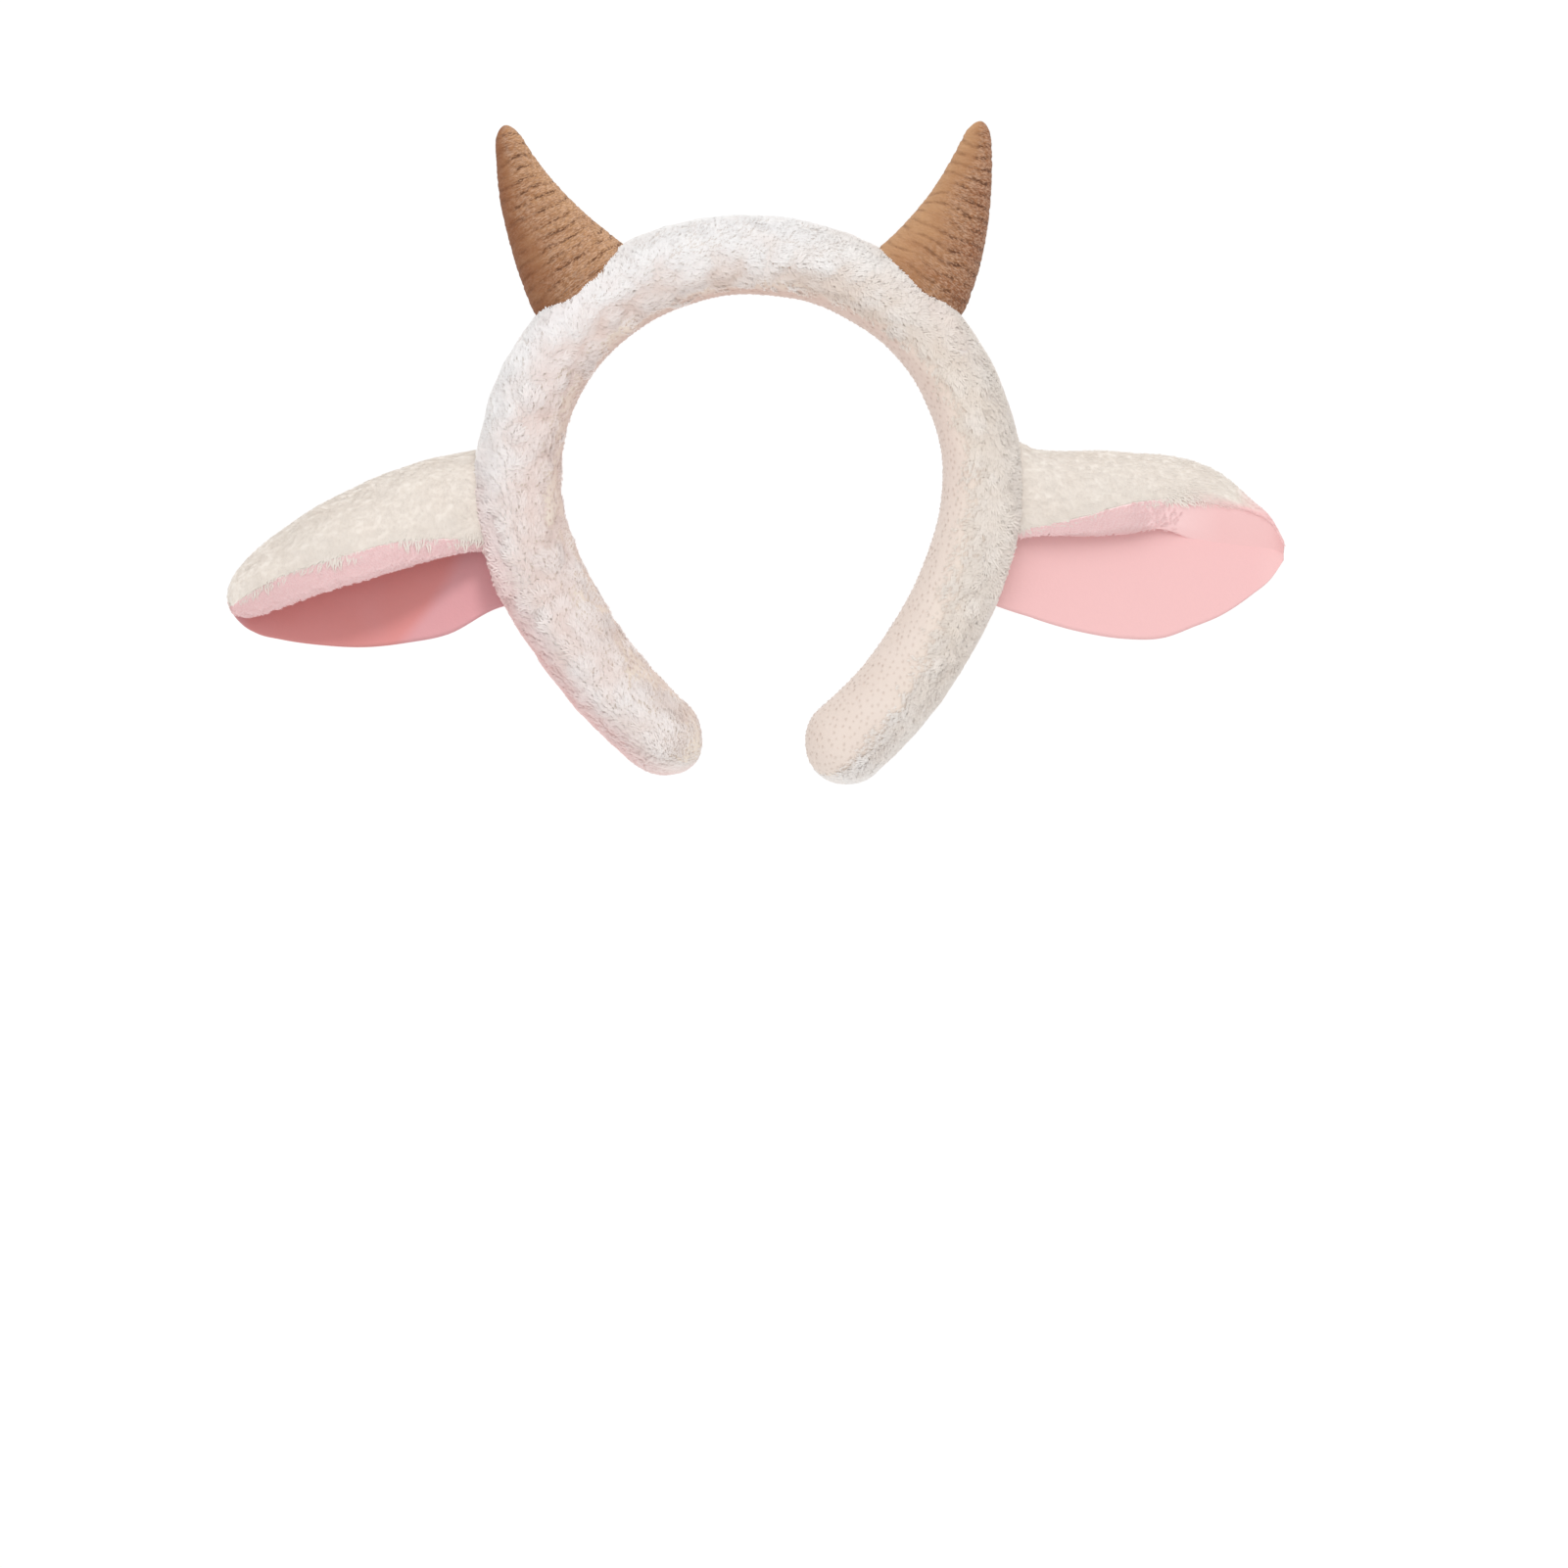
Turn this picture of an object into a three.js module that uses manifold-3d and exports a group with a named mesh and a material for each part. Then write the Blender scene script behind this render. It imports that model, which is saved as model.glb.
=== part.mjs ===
// Plush lamb headband: a padded fleece hoop with a smooth lining, two folded ears and two stuffed horns.
// Millimetres, +Z up. The headband lies on its back edge, crown towards +Y and front facing up.
import * as THREE from "three";
import Module from "manifold-3d";

const wasm = await Module();
wasm.setup();

// Clearance between sewn pieces, so that each stays a solid of its own
const SEAM_GAP = 0.3;

// Hoop: the padded band's centreline, an ellipse over the crown and two arms that close towards the nape
const HOOP = {
  x: -2.3,
  y: -8.4,
  halfWidth: 73.2,
  crownRise: 70.7,
  armStraight: 34,
  leftArm: { reach: { x: -43.2, y: -72.4 }, end: { x: -16.6, y: -89.4 } },
  rightArm: { reach: { x: 48.3, y: -74 }, end: { x: 19.6, y: -91.2 } },
  halfDepth: 17.5,
  centreHeight: 16.2,
  squareness: 2.25,
  endRounding: 14,
  bluntEnd: 0.34,
};
const HOOP_STATIONS = 62;

// Along the hoop: -1 is the left end, 0 the crown and 1 the right end. halfThick is half the radial
// thickness, and seam the angle from straight outwards, over the front, at which the fleece meets the lining.
const HOOP_ROWS = [
  { along: -1, halfThick: 12.5, seam: 76 },
  { along: -0.72, halfThick: 14.2, seam: 84 },
  { along: -0.4, halfThick: 13.4, seam: 97 },
  { along: 0, halfThick: 12.9, seam: 110 },
  { along: 0.25, halfThick: 12.4, seam: 102 },
  { along: 0.4, halfThick: 12.4, seam: 95 },
  { along: 0.72, halfThick: 13.4, seam: 80 },
  { along: 1, halfThick: 14.1, seam: 56 },
];
const BACK_SEAM = 100;
const LINING_WALL = 1.5;
const SEAM_CLEAR = 0.5;

// Fleece: low clumps of pile that make the cover's surface uneven, with no dents below the angle at which the
// table presses it flat
const CLUMP = { height: 0.6, pitch: 19, around: 3 };
const PRESSED_FLAT = -60;

// Ears: cloth walls, each a row of sections outwards from the root. Heights are measured from the root along
// Y: crest is the top of the fold, seam where the plush ends on the flap, lip the flap's free edge and hem
// the lower edge. back is the height of the back panel above the table, gap the room inside the fold, thick
// the share of the full wall, and droop how far the lip comes down into that room.
const EAR_PLUSH = 2.8;
const EAR_VELVET = 1.8;
const HEM_CURL = 2.2;
const EAR_COLUMNS = ["out", "crest", "seam", "lip", "hem", "back", "gap", "thick", "droop"];
const EARS = [
  {
    side: "left",
    sign: -1,
    root: { x: -83, y: -27 },
    table: [
      [-14, 26, 0, -2, -21, 11, 8, 1, 0.4],
      [0, 28, 0, -2, -24.2, 10.5, 8, 1, 0.4],
      [14.6, 26.2, 0, -5.6, -32, 8.6, 13, 1, 0.16],
      [28, 22.4, -0.9, -9.6, -34.8, 7, 18, 1, 0.04],
      [41.2, 17.4, -4.2, -13.6, -36.2, 6, 19.5, 1, 0.02],
      [55, 10.7, -8.2, -17.6, -35.6, 5.6, 18, 1, 0.03],
      [68.2, 2, -13, -22.3, -33.7, 5.6, 13.5, 0.95, 0.06],
      [76, -4, -15.5, -24.8, -31.6, 5.8, 10, 0.85, 0.12],
      [80.7, -9, -17, -25, -28.5, 6.4, 7, 0.7, 0.2],
      [83.6, -13, -18.4, -23.4, -24.8, 7, 5, 0.55, 0.25],
      [85, -16.6, -18.8, -20.6, -21.4, 7.6, 3.4, 0.38, 0.3],
    ],
  },
  {
    side: "right",
    sign: 1,
    root: { x: 79.7, y: -25.4 },
    table: [
      [-14, 26, 0.6, -1, -21, 11, 6, 1, 0.15],
      [0, 27.2, 0.6, -0.6, -26.2, 10.5, 6, 1, 0.15],
      [12.4, 25.9, 2.6, -0.6, -30.2, 9, 6.4, 1, 0.1],
      [24.8, 25.7, 5.6, -0.9, -33.4, 7.8, 6.6, 1, 0.08],
      [37.2, 25.6, 9.2, 0, -35.2, 6.8, 6.6, 1, 0.12],
      [49.6, 24.8, 11.2, 0.9, -34.8, 6, 6.2, 1, 0.32],
      [58.9, 22.6, 11.2, -0.8, -31.4, 5.6, 5.8, 1, 0.34],
      [68.2, 18.3, 8.6, -2.4, -27.3, 5.6, 5.2, 0.9, 0.32],
      [77.5, 10.5, 4.8, -4.4, -20.8, 6, 4.6, 0.75, 0.32],
      [83.9, 4, 2, -5.4, -15, 6.6, 4, 0.55, 0.32],
      [87.5, -2.6, -4.2, -6.6, -9.4, 7.4, 3.4, 0.38, 0.3],
    ],
  },
];
const EAR_SECTION_STEPS = 12;
const LIP_STEPS = 3;

// Horns: stuffed cones of ribbed jersey. angle places the root on the hoop, halfBase is half the width there,
// and lean is how far the horn goes straight out from the hoop before it turns towards its tip.
const HORN_HEIGHT = 17;
const HORN_HALF_TIP = 3.4;
const HORN_FLATNESS = 0.86;
const HORN_TIP_ROUNDING = 5;
const HORN_SINK = 13;
const HORN_SIDES = 16;
const RIB = { pitch: 3.4, depth: 0.35, ringsEach: 3 };
const HORNS = [
  { side: "left", angle: 131, halfBase: 17.8, lean: 25, tip: { x: -79.8, y: 103.2 } },
  { side: "right", angle: 48.6, halfBase: 16.8, lean: 17, tip: { x: 70.9, y: 104.5 } },
];

const fleece = new THREE.MeshStandardMaterial({ color: 0xf1ece4, roughness: 0.95, metalness: 0 });
const lining = new THREE.MeshStandardMaterial({ color: 0xe9dad0, roughness: 0.9, metalness: 0 });
const plush = new THREE.MeshStandardMaterial({ color: 0xefe6da, roughness: 0.95, metalness: 0 });
const velvet = new THREE.MeshStandardMaterial({ color: 0xf3b9bc, roughness: 0.85, metalness: 0 });
const jersey = new THREE.MeshStandardMaterial({ color: 0xa97c56, roughness: 0.9, metalness: 0 });

// The value of a table's column at a place between two rows
function tableValue(rows, key, column, place) {
  const next = rows.findIndex((row) => row[key] >= place);
  if (next <= 0) return rows.at(next === 0 ? 0 : -1)[column];
  const [low, high] = [rows[next - 1], rows[next]];
  return THREE.MathUtils.mapLinear(place, low[key], high[key], low[column], high[column]);
}

// Triangles over a flat loop of points, wound the way the loop runs
function capTriangles(loop) {
  const centre = loop.reduce((sum, p) => sum.add(p), new THREE.Vector3()).divideScalar(loop.length);
  const normal = new THREE.Vector3();
  loop.forEach((p, i) => {
    const next = loop[(i + 1) % loop.length];
    normal.add(p.clone().sub(centre).cross(next.clone().sub(centre)));
  });
  normal.normalize();
  const across = loop[0].clone().sub(centre).projectOnPlane(normal).normalize();
  const upward = normal.clone().cross(across);
  const flat = loop.map((p) => {
    const arm = p.clone().sub(centre);
    return new THREE.Vector2(arm.dot(across), arm.dot(upward));
  });
  return THREE.ShapeUtils.triangulateShape(flat, []).map(([a, b, c]) => {
    const doubleArea = flat[b].clone().sub(flat[a]).cross(flat[c].clone().sub(flat[a]));
    return doubleArea > 0 ? [a, b, c] : [a, c, b];
  });
}

// A closed solid through a row of loops that all have the same number of points
function loft(loops) {
  const count = loops[0].length;
  const triangles = [];
  for (let i = 0; i + 1 < loops.length; i++) {
    for (let j = 0; j < count; j++) {
      const a = i * count + j;
      const b = i * count + ((j + 1) % count);
      triangles.push([a, b, b + count], [a, b + count, a + count]);
    }
  }
  const last = (loops.length - 1) * count;
  triangles.push(...capTriangles(loops[0]).map(([a, b, c]) => [a, c, b]));
  triangles.push(...capTriangles(loops.at(-1)).map((corners) => corners.map((i) => i + last)));
  const points = loops.flat();
  const volume = triangles.reduce((sum, [a, b, c]) => {
    return sum + points[a].dot(points[b].clone().cross(points[c]));
  }, 0);
  const facingOut = volume > 0 ? triangles : triangles.map(([a, b, c]) => [a, c, b]);
  return new wasm.Manifold(
    new wasm.Mesh({
      numProp: 3,
      vertProperties: new Float32Array(points.flatMap((p) => p.toArray())),
      triVerts: new Uint32Array(facingOut.flat()),
    }),
  );
}

function namedMesh(name, solid, material) {
  const made = solid.getMesh();
  const geometry = new THREE.BufferGeometry();
  geometry.setAttribute("position", new THREE.BufferAttribute(made.vertProperties, 3));
  geometry.setIndex(new THREE.BufferAttribute(made.triVerts, 1));
  geometry.computeVertexNormals();
  const mesh = new THREE.Mesh(geometry, material);
  mesh.name = name;
  return mesh;
}

// The hoop's centreline in the plane of the table, from the left end over the crown to the right end
function hoopCurve() {
  const arm = (side, { reach, end }) => [
    new THREE.Vector2(side * HOOP.halfWidth, 0),
    new THREE.Vector2(side * HOOP.halfWidth, -HOOP.armStraight),
    new THREE.Vector2(reach.x, reach.y),
    new THREE.Vector2(end.x, end.y),
  ];
  const curve = new THREE.CurvePath();
  curve.add(new THREE.CubicBezierCurve(...arm(-1, HOOP.leftArm).reverse()));
  curve.add(new THREE.EllipseCurve(0, 0, HOOP.halfWidth, HOOP.crownRise, Math.PI, 0, true));
  curve.add(new THREE.CubicBezierCurve(...arm(1, HOOP.rightArm)));
  return curve;
}

const hoop = hoopCurve();
const hoopLength = hoop.getLength();

// Places along the hoop, closer together over the two rounded ends
function hoopPlaces() {
  const places = [];
  for (let i = 0; i <= HOOP_STATIONS; i++) {
    const even = i / HOOP_STATIONS;
    const eased = 0.5 - 0.5 * Math.cos(Math.PI * even);
    places.push(THREE.MathUtils.lerp(even, eased, 0.5));
  }
  return places;
}

// Everything a section of the hoop needs at a share of its length
function hoopStation(share) {
  const along = 2 * share - 1;
  const point = hoop.getPointAt(share);
  const tangent = hoop.getTangentAt(share);
  const fromEnd = Math.min(share, 1 - share) * hoopLength;
  const intoEnd = Math.max(0, 1 - fromEnd / HOOP.endRounding);
  const rounding = Math.max(HOOP.bluntEnd, Math.sqrt(1 - intoEnd ** 2));
  return {
    share,
    centre: new THREE.Vector3(HOOP.x + point.x, HOOP.y + point.y, HOOP.centreHeight),
    outward: new THREE.Vector3(-tangent.y, tangent.x, 0),
    halfThick: tableValue(HOOP_ROWS, "along", "halfThick", along) * rounding,
    halfDepth: HOOP.halfDepth * rounding,
    bed: LINING_WALL + SEAM_GAP * (2 - rounding),
    seam: tableValue(HOOP_ROWS, "along", "seam", along),
  };
}

// A point on the hoop's rounded section at an angle from straight outwards, set in from the surface. The
// underside is flat where the band lies on the table.
function hoopPoint(station, degrees, inset) {
  const angle = THREE.MathUtils.degToRad(degrees);
  const round = (value) => Math.sign(value) * Math.abs(value) ** (2 / HOOP.squareness);
  const out = (station.halfThick - inset) * round(Math.cos(angle));
  const up = (station.halfDepth - inset) * round(Math.sin(angle));
  const point = station.centre.clone().addScaledVector(station.outward, out);
  point.z = Math.max(HOOP.centreHeight + up, Math.max(inset, 0));
  return point;
}

// How far the clumped pile stands out at a place on the cover, fading to nothing at both seams
function clumpHeight(station, degrees) {
  const middle = (station.seam - BACK_SEAM) / 2;
  const half = (station.seam + BACK_SEAM) / 2;
  const fade = Math.cos((Math.PI / 2) * ((degrees - middle) / half)) ** 0.5 || 0;
  const turn = (CLUMP.around * degrees * Math.PI) / 180;
  const travel = (station.share * hoopLength * 2 * Math.PI) / CLUMP.pitch;
  const lumps = Math.sin(travel + 1.3 * Math.sin(turn)) * Math.cos(turn + 0.4 * Math.sin(travel));
  return CLUMP.height * fade * (degrees < PRESSED_FLAT ? Math.max(0, lumps) : lumps);
}

// Evenly spread angles from one to another, both included
function spread(from, to, steps) {
  return Array.from({ length: steps + 1 }, (_, i) => THREE.MathUtils.lerp(from, to, i / steps));
}

const COVER_STEPS = 13;
const LINING_STEPS = 8;
const stations = hoopPlaces().map(hoopStation);

// Angles across the lining, which stops just short of the fleece at both seams
function liningAngles(station) {
  const clear = THREE.MathUtils.radToDeg(SEAM_CLEAR / station.halfThick);
  return spread(station.seam + clear, 360 - BACK_SEAM - clear, LINING_STEPS);
}

// The padded body under its fleece, with a shallow bed on the inner side for the lining
function bandCover() {
  return loft(
    stations.map((station) => {
      const fleeceSide = spread(-BACK_SEAM, station.seam, COVER_STEPS).map((degrees) => {
        return hoopPoint(station, degrees, -clumpHeight(station, degrees));
      });
      const bedAngles = [station.seam, ...liningAngles(station).slice(1, -1), 360 - BACK_SEAM];
      const bedSide = bedAngles.map((degrees) => hoopPoint(station, degrees, station.bed));
      return [...fleeceSide, ...bedSide];
    }),
  );
}

// The smooth strip that faces the head
function bandLining() {
  return loft(
    stations.map((station) => {
      const angles = liningAngles(station);
      const face = angles.map((degrees) => hoopPoint(station, degrees, 0));
      const under = angles.map((degrees) => hoopPoint(station, degrees, LINING_WALL));
      return [...face, ...under.reverse()];
    }),
  );
}

// The whole band grown by the seam gap: what ears and horns are cut back from
function bandRoom() {
  return loft(
    stations.map((station) => {
      return spread(-BACK_SEAM, 360 - BACK_SEAM, COVER_STEPS + LINING_STEPS).slice(1).map((degrees) => {
        const clump = degrees < station.seam ? Math.max(0, clumpHeight(station, degrees)) : 0;
        return hoopPoint(station, degrees, -clump - SEAM_GAP);
      });
    }),
  );
}

// The line between the plush and the velvet in one section of an ear, across it (y) and up from the table
// (z): from the hem along the back panel, over the crest and down the flap to its lip
function earSection(row) {
  const crest = row.crest - EAR_PLUSH * row.thick;
  const turn = Math.min(0.3 * row.gap, 0.4 * (crest - row.seam));
  const top = row.back + row.gap;
  const points = [
    [row.hem + EAR_PLUSH * row.thick * 0.5, row.back + HEM_CURL * row.thick],
    [THREE.MathUtils.lerp(row.hem, crest, 0.35), row.back],
    [crest - turn, row.back + 0.1 * row.gap],
    [crest, row.back + 0.5 * row.gap],
    [crest - turn, top - 0.08 * row.gap],
    [row.seam, top],
    [row.lip, top - row.droop * row.gap],
  ];
  return new THREE.CatmullRomCurve3(points.map(([y, z]) => new THREE.Vector3(0, y, z)));
}
const SEAM_SHARE = 5 / 6;

// Loops of one layer of an ear: layers gives, for each place along the section, the two sides of the wall as
// distances from the line between the cloths, outwards positive
function earLayer(ear, layers) {
  return loft(
    ear.table.map((values) => {
      const row = Object.fromEntries(values.map((value, i) => [EAR_COLUMNS[i], value]));
      const curve = earSection(row);
      const lipWidth = row.seam - row.lip;
      const sides = layers(row, lipWidth).map(({ share, outer, inner }) => {
        const point = curve.getPoint(share);
        const tangent = curve.getTangent(share);
        const normal = new THREE.Vector3(0, tangent.z, -tangent.y);
        const place = (distance) => {
          const p = point.clone().addScaledVector(normal, distance);
          return new THREE.Vector3(ear.root.x + ear.sign * row.out, ear.root.y + p.y, p.z);
        };
        return [place(outer), place(inner)];
      });
      return [...sides.map(([outer]) => outer), ...sides.map(([, inner]) => inner).reverse()];
    }),
  );
}

function earBack(ear) {
  return earLayer(ear, (row) => {
    return spread(0, SEAM_SHARE, EAR_SECTION_STEPS).map((share) => ({
      share,
      outer: SEAM_GAP / 2 + EAR_PLUSH * row.thick,
      inner: SEAM_GAP / 2,
    }));
  });
}

function earLining(ear) {
  return earLayer(ear, (row, lipWidth) => {
    const face = -SEAM_GAP / 2 - EAR_VELVET * row.thick;
    const roll = EAR_PLUSH * row.thick * 0.9;
    const behind = spread(0, SEAM_SHARE, EAR_SECTION_STEPS);
    const step = (share) => SEAM_SHARE + (1 - SEAM_SHARE) * share;
    const clear = Math.min(0.2, (SEAM_GAP * 1.3) / lipWidth);
    const flat = [...behind, step(clear)].map((share) => ({ share, outer: -SEAM_GAP / 2, inner: face }));
    const rolled = spread(Math.min(0.45, clear + 1 / lipWidth), 1, LIP_STEPS).map((share) => ({
      share: step(share),
      outer: share < 1 ? roll : roll * 0.3,
      inner: share < 1 ? face : face * 0.6,
    }));
    return [...flat, ...rolled];
  });
}

// A horn's line, from inside the band out to its tip
function hornCurve(horn) {
  const angle = THREE.MathUtils.degToRad(horn.angle);
  const outward = new THREE.Vector3(Math.cos(angle), Math.sin(angle), 0);
  const along = hoop.getPointAt(0.5);
  const radius = along.y + HOOP_ROWS.find((row) => row.along === 0).halfThick;
  const root = new THREE.Vector3(HOOP.x, HOOP.y, HORN_HEIGHT).addScaledVector(outward, radius);
  return new THREE.QuadraticBezierCurve3(
    root.clone().addScaledVector(outward, -HORN_SINK),
    root.clone().addScaledVector(outward, horn.lean),
    new THREE.Vector3(horn.tip.x, horn.tip.y, HORN_HEIGHT),
  );
}

// Rings round a horn, each rib a broad ridge with a narrow valley
function hornSolid(horn) {
  const curve = hornCurve(horn);
  const length = curve.getLength();
  const rings = Math.round((length / RIB.pitch) * RIB.ringsEach);
  const loops = [];
  for (let i = 0; i <= rings; i++) {
    const fromTip = length * (1 - i / rings) + HORN_TIP_ROUNDING * 0.06 * (i / rings);
    const share = 1 - Math.min(1, fromTip / length);
    const swell = Math.min(1, fromTip / (length - HORN_SINK));
    const cone = THREE.MathUtils.lerp(HORN_HALF_TIP, horn.halfBase, swell);
    const tip = Math.sqrt(1 - Math.max(0, 1 - fromTip / HORN_TIP_ROUNDING) ** 2);
    const valley = i % RIB.ringsEach === 0 ? RIB.depth * Math.min(1, cone / horn.halfBase + 0.3) : 0;
    const half = cone * tip - valley * tip;
    const point = curve.getPointAt(share);
    const tangent = curve.getTangentAt(share);
    const sideways = new THREE.Vector3(-tangent.y, tangent.x, 0);
    loops.push(
      spread(0, 360, HORN_SIDES).slice(1).map((degrees) => {
        const turn = THREE.MathUtils.degToRad(degrees);
        const p = point.clone().addScaledVector(sideways, half * Math.cos(turn));
        p.z += half * HORN_FLATNESS * Math.sin(turn);
        return p;
      }),
    );
  }
  return loft(loops);
}

const headband = new THREE.Group();
const room = bandRoom();
headband.add(namedMesh("band_cover", bandCover(), fleece));
headband.add(namedMesh("band_lining", bandLining(), lining));
for (const ear of EARS) {
  headband.add(namedMesh(`ear_back_${ear.side}`, earBack(ear).subtract(room), plush));
  headband.add(namedMesh(`ear_lining_${ear.side}`, earLining(ear).subtract(room), velvet));
}
for (const horn of HORNS) {
  headband.add(namedMesh(`horn_${horn.side}`, hornSolid(horn).subtract(room), jersey));
}

export default headband;
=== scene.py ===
import math

import bpy
import numpy as np
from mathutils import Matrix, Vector, noise


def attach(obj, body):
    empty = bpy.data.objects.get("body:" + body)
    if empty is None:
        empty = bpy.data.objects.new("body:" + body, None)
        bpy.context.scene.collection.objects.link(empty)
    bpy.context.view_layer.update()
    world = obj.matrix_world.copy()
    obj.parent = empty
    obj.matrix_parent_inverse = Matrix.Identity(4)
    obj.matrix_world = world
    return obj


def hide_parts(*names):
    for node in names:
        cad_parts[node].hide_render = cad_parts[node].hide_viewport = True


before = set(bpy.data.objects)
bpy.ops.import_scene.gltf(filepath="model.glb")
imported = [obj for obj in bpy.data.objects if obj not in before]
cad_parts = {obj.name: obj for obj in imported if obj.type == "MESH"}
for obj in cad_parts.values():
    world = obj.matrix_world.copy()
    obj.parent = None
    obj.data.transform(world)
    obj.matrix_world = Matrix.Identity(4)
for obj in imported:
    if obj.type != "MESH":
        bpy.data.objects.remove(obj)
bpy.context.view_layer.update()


# The padded hoop. A springy strip wrapped in wadding under cream sherpa fleece, sewn shut along the head
# side. It lies on its back edge, which the table presses flat. Sizes are in millimetres until a mesh is made.
MM = 0.001
HOOP_CENTRE = (-2.3, -8.4)
HOOP_HALF_WIDTH = 73.2
HOOP_RISE = 70.7
ARM_STRAIGHT = 34.0  # how far each arm sets out straight on from the crown
LEFT_REACH, LEFT_END = (-43.2, -72.4), (-16.6, -89.4)
RIGHT_REACH, RIGHT_END = (48.3, -74.0), (19.6, -91.2)
HOOP_HALF_DEPTH = 17.5
HOOP_HEIGHT = 16.2
HOOP_SQUARENESS = 2.25  # 2 is an ellipse, and more is squarer
END_ROUNDING = 14.0
BACK_SEAM = 100.0  # degrees from straight outwards, round by the table, to the seam at the back
HOOP_STATIONS, HOOP_COLUMNS = 300, 66
# Share of the way from the crown to each end (left negative), half the radial thickness, and the angle from
# straight outwards, over the front, at which the fleece meets the lining
HOOP_ROWS = np.array([
    (-1.0, 12.5, 76.0),
    (-0.72, 14.2, 84.0),
    (-0.4, 13.4, 97.0),
    (0.0, 12.9, 110.0),
    (0.25, 12.4, 102.0),
    (0.4, 12.4, 92.0),
    (0.72, 13.4, 73.0),
    (1.0, 14.1, 50.0),
])
PILE_ROOT = 1.0  # how far the knitted back of the fleece lies under the tips of its pile
SUNK_UNDER_LINING = 2.0


def smooth(knots, values, places):
    """Values at places on a smooth curve that runs through the values at the knots."""
    knots, values, places = (np.asarray(x, float) for x in (knots, values, places))
    slopes = np.gradient(values, knots, axis=0)
    i = np.clip(np.searchsorted(knots, places) - 1, 0, len(knots) - 2)
    width = knots[i + 1] - knots[i]
    t = np.clip((places - knots[i]) / width, 0.0, 1.0)
    if values.ndim > 1:
        t, width = t[:, None], width[:, None]
    ease = t * t * (3 - 2 * t)
    leave = t * (1 - t) ** 2 * width * slopes[i]
    arrive = t * t * (t - 1) * width * slopes[i + 1]
    return (1 - ease) * values[i] + ease * values[i + 1] + leave + arrive


def ramp(values, start, end):
    """0 on the start's side, 1 on the end's side, and an even slope between the two."""
    return np.clip((values - start) / (end - start), 0, 1)


def near(values, middle, reach, peak=1.0):
    """1 at the middle, sloping to 0 away from it; a peak above 1 keeps it at 1 for some way."""
    return np.clip(peak - np.abs(values - middle) / reach, 0, 1)


def directions(vectors):
    """The same vectors at unit length."""
    return vectors / np.maximum(np.linalg.norm(vectors, axis=-1), 1e-6)[..., None]


def distances(line):
    """How far along a line each of its points is."""
    return np.concatenate([[0.0], np.cumsum(np.linalg.norm(np.diff(line, axis=0), axis=1))])


def read_along(places, stations, values):
    """Pairs of values, given at stations along a line, read at places along it."""
    return np.stack([np.interp(places, stations, values[:, k]) for k in range(2)], axis=1)


def bezier(a, b, c, d, steps=400):
    t = np.linspace(0, 1, steps)[:, None]
    a, b, c, d = (np.array(p, float) for p in (a, b, c, d))
    return (1 - t) ** 3 * a + 3 * t * (1 - t) ** 2 * b + 3 * t * t * (1 - t) * c + t ** 3 * d


def hoop_line():
    """The hoop's centreline from the left end over the crown to the right end."""
    side = HOOP_HALF_WIDTH
    turn = np.linspace(math.pi, 0, 900)
    crown = np.stack([side * np.cos(turn), HOOP_RISE * np.sin(turn)], axis=1)
    left = bezier(LEFT_END, LEFT_REACH, (-side, -ARM_STRAIGHT), (-side, 0))
    right = bezier((side, 0), (side, -ARM_STRAIGHT), RIGHT_REACH, RIGHT_END)
    return np.concatenate([left, crown[1:], right[1:]]) + HOOP_CENTRE


LINE = hoop_line()
TRAVEL = distances(LINE)
HEADING = np.gradient(LINE, TRAVEL, axis=0)
HOOP_LENGTH = TRAVEL[-1]


def from_crown(travel):
    """A distance along the hoop as a share: -1 at the left end, 0 at the middle and 1 at the right end."""
    return 2 * travel / HOOP_LENGTH - 1


def seam_angle(travel):
    """Degrees from straight outwards, over the front, to the seam of fleece and lining."""
    return smooth(HOOP_ROWS[:, 0], HOOP_ROWS[:, 2], from_crown(travel).ravel()).reshape(travel.shape)


def hoop_surface(travel, degrees, inset=0.0):
    """Points on the hoop, set in from its surface, with both ends rounded; travel gives the arrays' shape."""
    shape = travel.shape
    travel, degrees, inset = (np.broadcast_to(x, shape).ravel() for x in (travel, degrees, inset))
    into_end = np.clip(1 - np.minimum(travel, HOOP_LENGTH - travel) / END_ROUNDING, 0, 1)
    rounding = np.sqrt(1 - into_end ** 2)
    half_thick = smooth(HOOP_ROWS[:, 0], HOOP_ROWS[:, 1], from_crown(travel)) * rounding
    half_depth = HOOP_HALF_DEPTH * rounding
    heading = directions(read_along(travel, TRAVEL, HEADING))
    outward = np.stack([-heading[:, 1], heading[:, 0]], axis=1)
    angle = np.radians(degrees)
    power = 2 / HOOP_SQUARENESS
    across = np.sign(np.cos(angle)) * np.abs(np.cos(angle)) ** power
    up = np.sign(np.sin(angle)) * np.abs(np.sin(angle)) ** power
    out = np.maximum(half_thick - inset, 0.05 * half_thick) * across
    height = HOOP_HEIGHT + np.maximum(half_depth - inset, 0.05 * half_depth) * up
    place = read_along(travel, TRAVEL, LINE) + outward * out[:, None]
    points = np.column_stack([place, np.maximum(height, np.maximum(inset, 0.02))])
    return points.reshape(*shape, 3)


def ends_eased(steps, end_steps=13):
    """Distances along the hoop, closer together where its ends round off."""
    turn = np.linspace(math.radians(8), math.radians(90), end_steps)
    end = END_ROUNDING * (1 - np.cos(turn))
    middle = np.linspace(END_ROUNDING, HOOP_LENGTH - END_ROUNDING, steps)
    return np.concatenate([end, middle[1:-1], HOOP_LENGTH - end[::-1]])


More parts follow.
